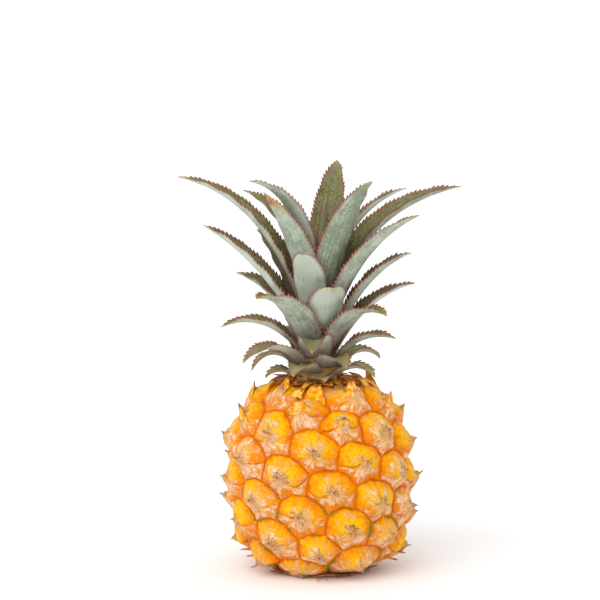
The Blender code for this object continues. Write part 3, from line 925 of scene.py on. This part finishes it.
def dry_tip_finish(name, colours, dry_colour):
    """Dry fibrous tissue, darker at its edges and its point. Fresh tissue is orange at its foot."""
    r = Recipe(name, 0.14, dry_colour)
    along, edge, tone, fresh = (r.attribute(n) for n in ("along", "edge", "tone", "fresh"))
    grain = r.noise(1300, detail=5)
    mottle = r.noise(420, detail=5)
    fibre_place = r.vector(r.math("MULTIPLY", edge, 5.0), along, r.math("MULTIPLY", tone, 8))
    fibre = r.noise(1.0, detail=4, vector=fibre_place)
    r.coat(colours.paper, r.patch(0.42, 0.6, (fibre, 0.6), (grain, 0.4)))
    juicy = r.mix(r.rise(mottle, 0.4, 0.6), colours.amber, colours.yellow)
    r.coat(juicy, r.patch(0.75, 0.35, (along, 1.0), (mottle, 0.6), (fresh, -0.8)))
    r.coat(colours.cream, r.patch(0.5, 0.58, (fibre, 0.6), (mottle, 0.4)), fresh, 0.6)
    r.coat(colours.bark, r.patch(0.9, 1.2, (along, 1.0), (grain, 0.5), (tone, 0.15), (fresh, -0.12)), 0.9)
    r.coat(colours.rust, r.patch(1.0, 1.15, (edge, 1.0), (grain, 0.3)), fresh, 0.7)
    roughness = r.math("MULTIPLY_ADD", grain, 0.3, 0.45)
    return r.finish(roughness, r.blend((grain, 0.5), (fibre, 0.8)), 0.2 * MM)


def build_dried_flowers(settings):
    """Withered flower parts that fan out from the middle of each eye over its dome."""
    strands = Strands()
    t = np.linspace(0, 1, FIBRE_STEPS)
    for eye in all_eyes()[0]:
        draw = random.Random(2000 + eye.number)
        around = len(eye.rim)
        top = int(np.argmax(unit(eye.rim - eye.site) @ eye.uphill))
        for _ in range(draw.randint(FEWEST_FIBRES, MOST_FIBRES)):
            if draw.random() < UPWARD_FIBRES:
                spread = draw.gauss(0, UPWARD_SPREAD)
            else:
                spread = 0.5 + draw.gauss(0, DOWNWARD_SPREAD)
            drift = draw.uniform(-0.09, 0.09) * np.sin(t * draw.uniform(1.5, 4.5))
            places = (top + (spread + drift) * around) % around
            before = np.floor(places).astype(int)
            part = (places - before)[:, None]
            spokes = eye.rim[before % around] * (1 - part) + eye.rim[(before + 1) % around] * part
            reach = settings.fibre_length / eye.radius * draw.uniform(0.15, 0.9)
            skin, outward, _ = eye.skin(spokes, draw.uniform(0.03, 0.1) + reach * t)
            lift = draw.uniform(0.0, 0.35) * MM
            path = skin + outward * (0.06 * MM + lift * t[:, None] ** 2) * squash(eye.site)
            side = np.cross(outward, unit(np.gradient(path, axis=0)))
            width = FIBRE_WIDTH * draw.uniform(0.5, 1.3) * np.sin(math.pi * (0.18 + 0.78 * t))
            thick = width * FIBRE_THICKNESS / FIBRE_WIDTH
            strands.add(sliver(path, side, width, thick, around=5), draw.random())
    strands.piece("dried_flowers", dry_tip_finish("dried_flower", settings, settings.ash), "skin")


def build_neck_scales(settings):
    """Dry red-brown scales crowded under the lowest leaves, and orange bracts that climb to them."""
    strands = Strands()
    share = np.linspace(0, 1, NECK_SCALE_STEPS)[:, None]
    fade = 1 - share[:, 0]
    for number in range(NECK_SCALES):
        draw = random.Random(5000 + number)
        turn = number * NECK_TURN + draw.uniform(-0.15, 0.15)
        out, side = directions(turn)
        outermost = number / NECK_SCALES
        foot = out * (NECK_SCALES_FROM + NECK_SCALES_SPREAD * outermost) + (CROWN_X, 0, 0)
        foot += UP * (NECK_SCALES_TOP - NECK_SCALES_DROP * outermost)
        aim = unit(out + UP * draw.uniform(0.0, 0.35) + side * draw.uniform(-0.4, 0.4))
        length = draw.uniform(*NECK_SCALE_LENGTHS) * MM
        path = foot + aim * length * share - UP * draw.uniform(0.0, 0.45) * length * share**2
        widths = NECK_SCALE_WIDTH * draw.uniform(0.5, 1.1) * fade**0.7 + 0.08 * MM
        thick = NECK_SCALE_THICKNESS * fade**0.5 + 0.05 * MM
        fresh = draw.choice((0, 0, 0, 0.4, 0.9))
        scale = sliver(path, -side, widths, thick, around=8, fold=NECK_SCALE_FOLD)
        strands.add(scale, draw.random(), fresh, loose=True)
    for number in range(NECK_BRACTS):
        if number == BARE_PLACE:
            continue
        draw = random.Random(5500 + number)
        turn = math.tau * ((number + draw.uniform(-0.4, 0.4)) / NECK_BRACTS - 0.25)
        out, side = directions(turn)
        foot = out * draw.uniform(*BRACT_FOOT_OUT) * MM
        foot += UP * draw.uniform(*BRACT_FOOT_HEIGHT) * MM
        tip = out * draw.uniform(*BRACT_TIP_OUT) * MM + side * draw.uniform(*BRACT_TIP_ASIDE) * MM
        tip += UP * draw.uniform(*BRACT_TIP_HEIGHT) * MM
        path = foot + (tip - foot) * share + unit(UP + out) * NECK_BRACT_ARCH * np.sin(share * math.pi)
        widths = NECK_BRACT_WIDTH * draw.uniform(0.7, 1.3) * fade**0.6 + 0.08 * MM
        thick = NECK_BRACT_THICKNESS * fade**0.5 + 0.05 * MM
        bract = sliver(path, side, widths, thick, around=12, fold=NECK_BRACT_FOLD)
        strands.add(bract, draw.random(), 1.0, loose=True)
    strands.piece("neck_scales", dry_tip_finish("neck_scale", settings, settings.rust), "skin")


class Leaf:
    """One leaf of the crown. Its tip is reach mm out from the crown's axis and tip mm above the floor.
    It leaves the stem at root_lean degrees from upright, and bow is the share of its span to the arch's knee.
    width is in mm, and channel is the half angle of its gutter in degrees. A small taper makes a blunt tip,
    and sway turns the whole leaf about the crown's axis, in degrees."""

    def __init__(self, reach, tip, root_lean, bow, width, channel, taper=0.85, sway=0):
        self.reach = reach * MM
        self.tip = tip * MM
        self.root_lean = math.radians(root_lean)
        self.bow = bow
        self.width = width * MM
        self.channel = math.radians(channel)
        self.taper = taper
        self.sway = math.radians(sway)


# The leaves as in their solids, from the lowest to the innermost.
LEAVES = (
    Leaf(24, 99, 64, 0.75, 14, 35),
    Leaf(26, 99, 64, 0.75, 14, 35),
    Leaf(26.5, 98, 64, 0.75, 14, 35),
    Leaf(33, 100, 58, 0.75, 14, 35),
    Leaf(31, 101, 56, 0.75, 15, 38),
    Leaf(29, 102, 54, 0.75, 15, 38),
    Leaf(35, 105, 48, 0.75, 15, 40),
    Leaf(35, 99, 52, 0.75, 15, 40),
    Leaf(30, 106, 46, 0.75, 16, 40),
    Leaf(38, 107, 46, 0.75, 15, 42),
    Leaf(44, 108.5, 50, 0.7, 15, 42),
    Leaf(40, 118, 42, 0.65, 15, 44),
    Leaf(33, 117, 38, 0.7, 16, 44),
    Leaf(36, 115, 36, 0.8, 18, 42),
    Leaf(51, 143.5, 29, 0.6, 17, 48, sway=-29),
    Leaf(48, 123, 41, 0.68, 16, 48),
    Leaf(46, 133, 32, 0.75, 17, 48),
    Leaf(48, 136, 36, 0.6, 17, 48),
    Leaf(50, 143, 29, 0.62, 22, 46),
    Leaf(47, 160.5, 24, 0.66, 19, 50, sway=-12),
    Leaf(48, 147, 32, 0.6, 17, 50),
    Leaf(30, 146.5, 24, 0.5, 20, 44, taper=0.5),
    Leaf(52, 160, 28, 0.6, 17, 50),
    Leaf(57.4, 173.5, 30, 0.58, 20, 50, sway=-27),
    Leaf(54, 181.5, 18, 0.6, 22, 50),
    Leaf(47, 168, 26, 0.6, 20, 50, sway=14),
    Leaf(26, 162.5, 14, 0.5, 18, 46, taper=0.5),
    Leaf(76, 191.5, 13, 0.6, 24, 50, sway=-14),
    Leaf(71.5, 197, 17, 0.67, 17, 52),
    Leaf(45, 200, 12, 0.6, 20, 48),
    Leaf(41, 203, 15, 0.5, 18, 38, taper=0.7, sway=-8),
    Leaf(36.5, 193.5, 9, 0.5, 21, 46, taper=0.95, sway=3),
    Leaf(44.5, 193, 7, 0.68, 15, 50),
    Leaf(52, 188, 9, 0.62, 14, 50),
    Leaf(15, 191, 10, 0.5, 6.5, 50, sway=14),
    Leaf(28, 187, 4, 0.55, 10, 50),
    Leaf(42, 199, 3, 0.74, 15, 44, sway=29),
    Leaf(9, 174, 2, 0.5, 6, 50),
    Leaf(7, 170, 1, 0.5, 5, 50),
    Leaf(4, 166, 0, 0.5, 4, 50),
)

# Leaves whose ends are dry, by their place in the spiral, with the share of the leaf that is.
WITHERED_TIPS = {31: 0.11, 18: 0.03, 16: 0.03}
USUAL_WITHERED = -0.03
# Tones that set how much silvery bloom a leaf shows: some leaves are made paler as painted light and others
# darker as painted shade. Leaves that are not listed get random tones.
LIT_AND_SHADED_LEAF_TONES = {21: 0.8, 23: 1.0, 26: 0.85, 29: -0.1, 31: 0.3, 36: 0.6}
OLD_LEAVES = 14
HEART_LEAVES = (34, 37, 38, 39)


def stem_radius(height):
    share = (height - SEAT_HEIGHT) / STEM_HEIGHT
    return STEM_FOOT_RADIUS + (STEM_TOP_RADIUS - STEM_FOOT_RADIUS) * share


def leaf_course(leaf, order, share):
    """The leaf's middle line, as places out and up from the crown's axis at the floor, and its headings."""
    share = share[:, None]
    foot_height = LEAF_FOOT_HEIGHT + LEAF_RISE * order + LEAF_RISE_GROWTH * order**2
    foot = np.array((stem_radius(foot_height) + FOOT_CLEARANCE, foot_height))
    tip = np.array((leaf.reach, leaf.tip))
    away = np.array((math.sin(leaf.root_lean), math.cos(leaf.root_lean)))
    knee = foot + away * leaf.bow * np.linalg.norm(tip - foot)
    place = foot * (1 - share) ** 2 + knee * 2 * share * (1 - share) + tip * share**2
    return place, unit((knee - foot) * (1 - share) + (tip - knee) * share)


def leaf_half_widths(leaf, order, share):
    """Broadest at the foot of a low leaf and further up a high one, then drawn out to a point."""
    swell = FIRST_SWELL + (LAST_SWELL - FIRST_SWELL) * order / (len(LEAVES) - 1)

    def breadth(x):
        return (1 - x) ** leaf.taper * (1 + swell * x)

    fullest = max(0, (swell - leaf.taper) / (swell * (leaf.taper + 1)))
    return leaf.width / 2 * breadth(share) / breadth(fullest)


def leaf_sheet(leaf, order, share, across):
    """Points of the leaf's middle sheet, in rows along it and columns across, and its inward directions."""
    turn = LEAF_ZERO_TURN + LEAF_TURN * order + leaf.sway
    out, side = directions(turn)
    place, heading = leaf_course(leaf, order, share)
    half = leaf_half_widths(leaf, order, share)[:, None]
    inward = UP * heading[:, :1] - out * heading[:, 1:]
    middle = out * place[:, :1] + UP * place[:, 1:]

    bend = (across * leaf.channel)[None, :, None]
    curl = (half / leaf.channel)[..., None]
    guttered = middle[:, None] + (side * np.sin(bend) + inward[:, None] * (1 - np.cos(bend))) * curl
    wrap = (across[None] * np.minimum(half / place[:, :1], LEAF_MOST_WRAP))[..., None]
    radius = place[:, :1, None]
    wrapped = (out * np.cos(wrap) + side * np.sin(wrap)) * radius + UP * place[:, 1:, None]
    eased = smooth(share / LEAF_WRAPPED_SHARE)[:, None, None]
    return wrapped * (1 - eased) + guttered * eased + (CROWN_X, 0, 0), inward


def blade(leaf, order, settings):
    """A leaf's blade: two skins with a thin margin between them, drawn out into hooked teeth."""
    draw = random.Random(3000 + order)
    samples = np.linspace(0, 1, COURSE_SAMPLES)
    course, _ = leaf_course(leaf, order, samples)
    travelled = np.concatenate(((0,), np.cumsum(np.linalg.norm(np.diff(course, axis=0), axis=1))))
    teeth = round(travelled[-1] / settings.tooth_pitch)
    toothed = teeth * len(TOOTH_OUT) + 1
    rows = toothed + len(TIP_ROWS)
    distance = np.append(np.linspace(0, TOOTHED_SHARE, toothed), TIP_ROWS) * travelled[-1]
    share = np.interp(distance, travelled, samples)
    sheet, inward = leaf_sheet(leaf, order, share, COLUMNS)

    along = unit(np.gradient(sheet, axis=0))
    over = unit(np.gradient(sheet, axis=1))
    face = unit(np.cross(along, over))
    face *= np.sign((face * inward[:, None]).sum(axis=-1, keepdims=True))
    wave = np.sin(distance / WAVE_LENGTH * math.tau + draw.uniform(0, math.tau))[:, None]
    lopsided = np.where(COLUMNS > 0, 1.0, -0.6) * COLUMNS**2 * smooth(share / 0.3)[:, None]
    sheet = sheet + face * (wave * lopsided * WAVE_HEIGHT)[..., None]

    half = leaf_half_widths(leaf, order, share)
    size = smooth((share - TOOTH_START) / TOOTH_GROWTH) * smooth((1 - share) / TOOTH_FADE)
    size = size * np.clip(half / FULL_TOOTH_BREADTH, LEAST_TOOTH, 1)
    phase = np.arange(rows) % len(TOOTH_OUT)
    tooth = np.zeros((rows, len(COLUMNS)))
    for column, sign in ((0, -1), (-1, 1)):
        each = np.array([draw.uniform(LEAST_TOOTH_SIZE, MOST_TOOTH_SIZE) for _ in range(teeth + 1)])
        grown = size * each[np.minimum(np.arange(rows) // len(TOOTH_OUT), teeth)]
        outward = unit(sheet[:, column] - sheet[:, column - sign])
        push = outward * (TOOTH_OUT[phase] * grown * settings.tooth_height)[:, None]
        hook = along[:, column] * (TOOTH_AHEAD[phase] * grown * settings.tooth_pitch)[:, None]
        sheet[:, column] += push + hook
        tooth[:, column] = TOOTH_OUT[phase] * grown

    fleshy = MARGIN_THICKNESS_SHARE + (1 - MARGIN_THICKNESS_SHARE) * (1 - np.abs(COLUMNS) ** 3)
    thinning = 1 - (1 - TIP_THICKNESS_SHARE) * share
    depth = face * (LEAF_THICKNESS / 2 * fleshy[None] * thinning[:, None])[..., None]
    across = np.broadcast_to(COLUMNS[None], tooth.shape)
    length = np.broadcast_to(share[:, None], tooth.shape)
    points = np.concatenate(((sheet + depth).reshape(-1, 3), (sheet - depth).reshape(-1, 3)))
    values = {
        "across": np.tile(np.ravel(across), 2),
        "along": np.tile(np.ravel(length), 2),
        "tooth": np.tile(np.ravel(tooth), 2),
        "inside": np.repeat((1.0, 0.0), tooth.size),
    }
    return points, blade_faces(rows, len(COLUMNS)), values


def blade_faces(rows, columns):
    """Faces of both skins of a blade, and of the narrow strip all the way round between them."""
    inner = ring_faces(0, rows, columns, closed=False)
    outer = [tuple(v + rows * columns for v in reversed(face)) for face in inner]
    border = [i * columns for i in range(rows)]
    border += [(rows - 1) * columns + i for i in range(1, columns)]
    border += [i * columns + columns - 1 for i in range(rows - 2, -1, -1)]
    border += list(range(columns - 2, 0, -1))
    strip = []
    for a, b in zip(border, border[1:] + border[:1]):
        strip.append((b, a, a + rows * columns, b + rows * columns))
    return [tuple(reversed(face)) for face in inner + outer + strip]


def build_leaves(settings):
    finish = leaf_finish(settings)
    nodes = sorted(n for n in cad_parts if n.startswith("leaf_"))
    if len(nodes) != len(LEAVES):
        raise RuntimeError(f"the frame has {len(nodes)} leaves, not {len(LEAVES)}")
    for order, (leaf, node) in enumerate(zip(LEAVES, nodes)):
        points, faces, values = blade(leaf, order, settings)
        draw = random.Random(4000 + order)
        traits = {
            # A leaf's tone is random, except on the listed leaves, where it paints light on the paler ones
            # and shade on the darker ones.
            "leaf_tone_and_light": LIT_AND_SHADED_LEAF_TONES.get(order, draw.random()),
            "old": max(0.0, 1 - order / OLD_LEAVES),
            "withered": WITHERED_TIPS.get(order, USUAL_WITHERED),
            "heart": float(order in HEART_LEAVES),
        }
        for label, value in traits.items():
            values[label] = np.full(len(points), value)
        name = node.replace("leaf", "blade")
        face_outwards(add_piece(name, points, faces, finish, nodes=(node,), values=values))


def leaf_finish(colours):
    """Silvery bloom outside, paler on some leaves as painted light and darker on others as painted shade,
    olive inside, and a red-brown margin with its teeth.
    """
    r = Recipe("crown_leaf", 0.18, colours.olive)
    names = ("across", "along", "tooth", "inside", "leaf_tone_and_light", "old", "withered", "heart")
    across, along, tooth, inside, tone, old, withered, heart = (r.attribute(n) for n in names)
    shift = r.math("MULTIPLY", tone, 17.0)
    streak_place = r.vector(r.math("MULTIPLY", across, 9.0), r.math("MULTIPLY", along, 2.6), shift)
    streaks = r.noise(1.6, detail=6, roughness=0.65, vector=streak_place)
    clouds = r.noise(110, detail=4)
    mottle = r.noise(620, detail=5, roughness=0.6)
    grain = r.noise(2400, detail=2)
    flecks = r.noise(900, detail=4, roughness=0.7)

    # The olive inside with its patches, then the silvery outside, which heart leaves show less. The bloom
    # follows each leaf's tone, which is painted light on some leaves and painted shade on others.
    r.coat(colours.moss, r.patch(0.5, 0.62, (streaks, 0.5), (mottle, 0.6)))
    r.coat(colours.shade, r.patch(0.52, 0.42, (clouds, 0.5), (mottle, 0.5), (along, 0.1)), 0.5)
    purple = r.blend((clouds, 0.6), (streaks, 0.25), (mottle, 0.35), (along, 0.12))
    r.coat(colours.plum, r.rise(purple, 0.62, 0.78), 0.65)
    r.coat(colours.sage, r.patch(0.56, 0.66, (flecks, 0.6), (mottle, 0.3), (along, 0.12)), 0.5)
    silver_and_light = r.blend((streaks, 0.4), (clouds, 0.4), (mottle, 0.4), (tone, 0.2), (heart, -0.35), (old, -0.05))
    outside = r.mix(r.rise(silver_and_light, 0.5, 0.8), colours.sage, colours.bloom)
    r.colour = r.mix(r.math("MAXIMUM", inside, r.product(heart, 0.55)), outside, r.colour)

    # Old low leaves, and plum-brown towards every leaf's base.
    r.coat(colours.weathered, old, r.rise(clouds, 0.3, 0.6), 0.7)
    r.coat(colours.olive, old, r.patch(0.5, 0.6, (mottle, 0.5), (streaks, 0.5)), 0.5)
    r.coat(colours.plum, r.patch(0.72, 0.4, (along, 1.0), (streaks, 0.3), (clouds, 0.3)), 0.55)

    # Yellow towards the tip, a flushed margin with its line and teeth, and the dry end.
    edge = r.math("ABSOLUTE", across)
    tip = r.math("SUBTRACT", 1.0, along)
    yellow = r.patch(0.32, 0.1, (tip, 1.0), (mottle, 0.2), (clouds, 0.2), (withered, -1.0), (edge, -0.06))
    r.coat(colours.yellowed, yellow, 0.7)
    r.coat(colours.margin, r.patch(0.92, 1.06, (edge, 1.0), (clouds, 0.15)), 0.45)
    r.coat(colours.margin, r.patch(0.975, 1.015, (edge, 1.0), (mottle, 0.04)))
    r.coat(colours.withered, r.rise(tooth, 0.5, 0.95), 0.4)
    dead = r.patch(0.12, 0.06, (tip, 1.0), (mottle, 0.14), (withered, -1.0))
    r.coat(r.mix(r.rise(mottle, 0.48, 0.66), colours.withered, colours.margin), dead)
    r.coat(colours.plum, r.patch(0.58, 0.64, (mottle, 0.5), (grain, 0.5)), 0.55)

    roughness = r.math("MULTIPLY_ADD", streaks, 0.3, 0.42)
    return r.finish(roughness, r.blend((streaks, 0.5), (mottle, 0.35), (grain, 0.2)), 0.2 * MM)


def build_stem(settings):
    """The crown's stem, ringed by the scars of its leaves. It stands on the fruit's seat."""
    heights = np.linspace(SEAT_HEIGHT + STEM_GAP, SEAT_HEIGHT + STEM_GAP + STEM_HEIGHT, STEM_RINGS)
    turns = np.arange(STEM_SIDES) * math.tau / STEM_SIDES
    scars = SCAR_DEPTH * (np.arange(STEM_RINGS) % 2)
    radii = (stem_radius(heights - STEM_GAP) - scars)[:, None, None]
    around = np.stack((np.cos(turns), np.sin(turns), 0 * turns), axis=-1)
    rings = around * radii + UP * heights[:, None, None] + (CROWN_X, 0, 0)
    faces = ring_faces(0, STEM_RINGS, STEM_SIDES)
    faces.append(tuple(reversed(range(STEM_SIDES))))
    faces.append(tuple(range((STEM_RINGS - 1) * STEM_SIDES, STEM_RINGS * STEM_SIDES)))
    r = Recipe("stem_core", 0.2, settings.yellowed)
    fibre = r.noise(300, detail=5)
    r.coat(settings.withered, r.rise(fibre, 0.35, 0.65))
    finish = r.finish(0.7, fibre, 0.3 * MM)
    add_piece("stem_core", rings, faces, finish, nodes=("crown_stem",))


def build_stage(settings):
    scene = bpy.context.scene
    r = Recipe("pale_floor", 0.1, settings.floor)
    dust = r.noise(14, detail=3)
    r.coat(DUST, dust, 0.04)
    material = r.finish(0.8, dust, 0.05 * MM)
    work = bmesh.new()
    bmesh.ops.create_grid(work, x_segments=8, y_segments=8, size=FLOOR_SIZE / 2)
    mesh = bpy.data.meshes.new("floor")
    work.to_mesh(mesh)
    work.free()
    mesh.materials.append(material)
    floor = bpy.data.objects.new("floor", mesh)
    scene.collection.objects.link(floor)

    world = bpy.data.worlds.new("white_room")
    world.use_nodes = True
    background = world.node_tree.nodes["Background"]
    background.inputs["Color"].default_value = (1, 1, 1, 1)
    background.inputs["Strength"].default_value = settings.surround
    scene.world = world
    scene.view_settings.view_transform = "Standard"
    light = bpy.data.lights.new("broad_light", "SUN")
    light.energy = settings.sun
    light.angle = SUN_BREADTH
    lamp = bpy.data.objects.new("broad_light", light)
    lamp.location = SUN_FROM
    lamp.rotation_euler = SUN_FROM.to_track_quat("Z", "Y").to_euler()
    scene.collection.objects.link(lamp)

    lens = bpy.data.cameras.new("camera")
    lens.sensor_width = SENSOR_WIDTH
    lens.lens = SENSOR_WIDTH * CAMERA_DISTANCE / FRAME_WIDTH
    camera = bpy.data.objects.new("camera", lens)
    down = settings.view_height
    back = Vector((0, -math.cos(down), math.sin(down))) * CAMERA_DISTANCE
    camera.location = Vector((VIEW_X, 0, VIEW_Z)) + back
    camera.rotation_euler = (math.pi / 2 - down, 0, 0)
    scene.collection.objects.link(camera)
    scene.camera = camera


class PINEAPPLE_OT_fruit_skin(bpy.types.Operator):
    """Make the ripe skin with its spiral of eyes"""

    bl_idname = "pineapple.fruit_skin"
    bl_label = "Fruit Skin"

    def execute(self, context):
        build_fruit_skin(context.scene.pineapple_fruit)
        return {"FINISHED"}


class PINEAPPLE_OT_bract_tips(bpy.types.Operator):
    """Make the dry points of the bracts"""

    bl_idname = "pineapple.bract_tips"
    bl_label = "Bract Tips"

    def execute(self, context):
        build_bract_tips(context.scene.pineapple_fruit)
        return {"FINISHED"}


class PINEAPPLE_OT_dried_flowers(bpy.types.Operator):
    """Make the withered flower parts in the eyes"""

    bl_idname = "pineapple.dried_flowers"
    bl_label = "Dried Flowers"

    def execute(self, context):
        build_dried_flowers(context.scene.pineapple_fruit)
        return {"FINISHED"}


class PINEAPPLE_OT_foot_scales(bpy.types.Operator):
    """Make the dry scales under the fruit"""

    bl_idname = "pineapple.foot_scales"
    bl_label = "Foot Scales"

    def execute(self, context):
        build_foot_scales(context.scene.pineapple_fruit)
        return {"FINISHED"}


class PINEAPPLE_OT_neck_scales(bpy.types.Operator):
    """Make the dry scales round the neck"""

    bl_idname = "pineapple.neck_scales"
    bl_label = "Neck Scales"

    def execute(self, context):
        build_neck_scales(context.scene.pineapple_fruit)
        return {"FINISHED"}


class PINEAPPLE_OT_stem(bpy.types.Operator):
    """Make the crown's stem"""

    bl_idname = "pineapple.stem"
    bl_label = "Crown Stem"

    def execute(self, context):
        build_stem(context.scene.pineapple_crown)
        return {"FINISHED"}


class PINEAPPLE_OT_leaves(bpy.types.Operator):
    """Make the crown's toothed leaves"""

    bl_idname = "pineapple.leaves"
    bl_label = "Leaves"

    def execute(self, context):
        build_leaves(context.scene.pineapple_crown)
        return {"FINISHED"}


class PINEAPPLE_OT_stage(bpy.types.Operator):
    """Make the floor, the lights and the camera"""

    bl_idname = "pineapple.stage"
    bl_label = "Stage"

    def execute(self, context):
        build_stage(context.scene.pineapple_stage)
        return {"FINISHED"}


OPERATORS = (
    PINEAPPLE_OT_fruit_skin,
    PINEAPPLE_OT_bract_tips,
    PINEAPPLE_OT_dried_flowers,
    PINEAPPLE_OT_neck_scales,
    PINEAPPLE_OT_foot_scales,
    PINEAPPLE_OT_stem,
    PINEAPPLE_OT_leaves,
    PINEAPPLE_OT_stage,
)
SETTINGS = {
    "pineapple_fruit": FruitSettings,
    "pineapple_crown": CrownSettings,
    "pineapple_stage": StageSettings,
}


class PINEAPPLE_PT_sidebar(bpy.types.Panel):
    """Lists the pieces of the pineapple with their sizes and colours"""

    bl_label = "Small Pineapple"
    bl_space_type = "VIEW_3D"
    bl_region_type = "UI"
    bl_category = "Pineapple"

    def draw(self, context):
        for operator in OPERATORS:
            self.layout.operator(operator.bl_idname)
        for owner, group in SETTINGS.items():
            box = self.layout.box()
            for name in group.__annotations__:
                box.prop(getattr(context.scene, owner), name)


def register():
    for group in (*SETTINGS.values(), *OPERATORS, PINEAPPLE_PT_sidebar):
        bpy.utils.register_class(group)
    for name, group in SETTINGS.items():
        setattr(bpy.types.Scene, name, PointerProperty(type=group))


def unregister():
    for name in SETTINGS:
        delattr(bpy.types.Scene, name)
    for group in (PINEAPPLE_PT_sidebar, *reversed(OPERATORS), *SETTINGS.values()):
        bpy.utils.unregister_class(group)


def main():
    register()
    bpy.ops.pineapple.fruit_skin()
    bpy.ops.pineapple.bract_tips()
    bpy.ops.pineapple.dried_flowers()
    bpy.ops.pineapple.neck_scales()
    bpy.ops.pineapple.foot_scales()
    bpy.ops.pineapple.stem()
    bpy.ops.pineapple.leaves()
    bpy.ops.pineapple.stage()


if __name__ == "__main__":
    main()
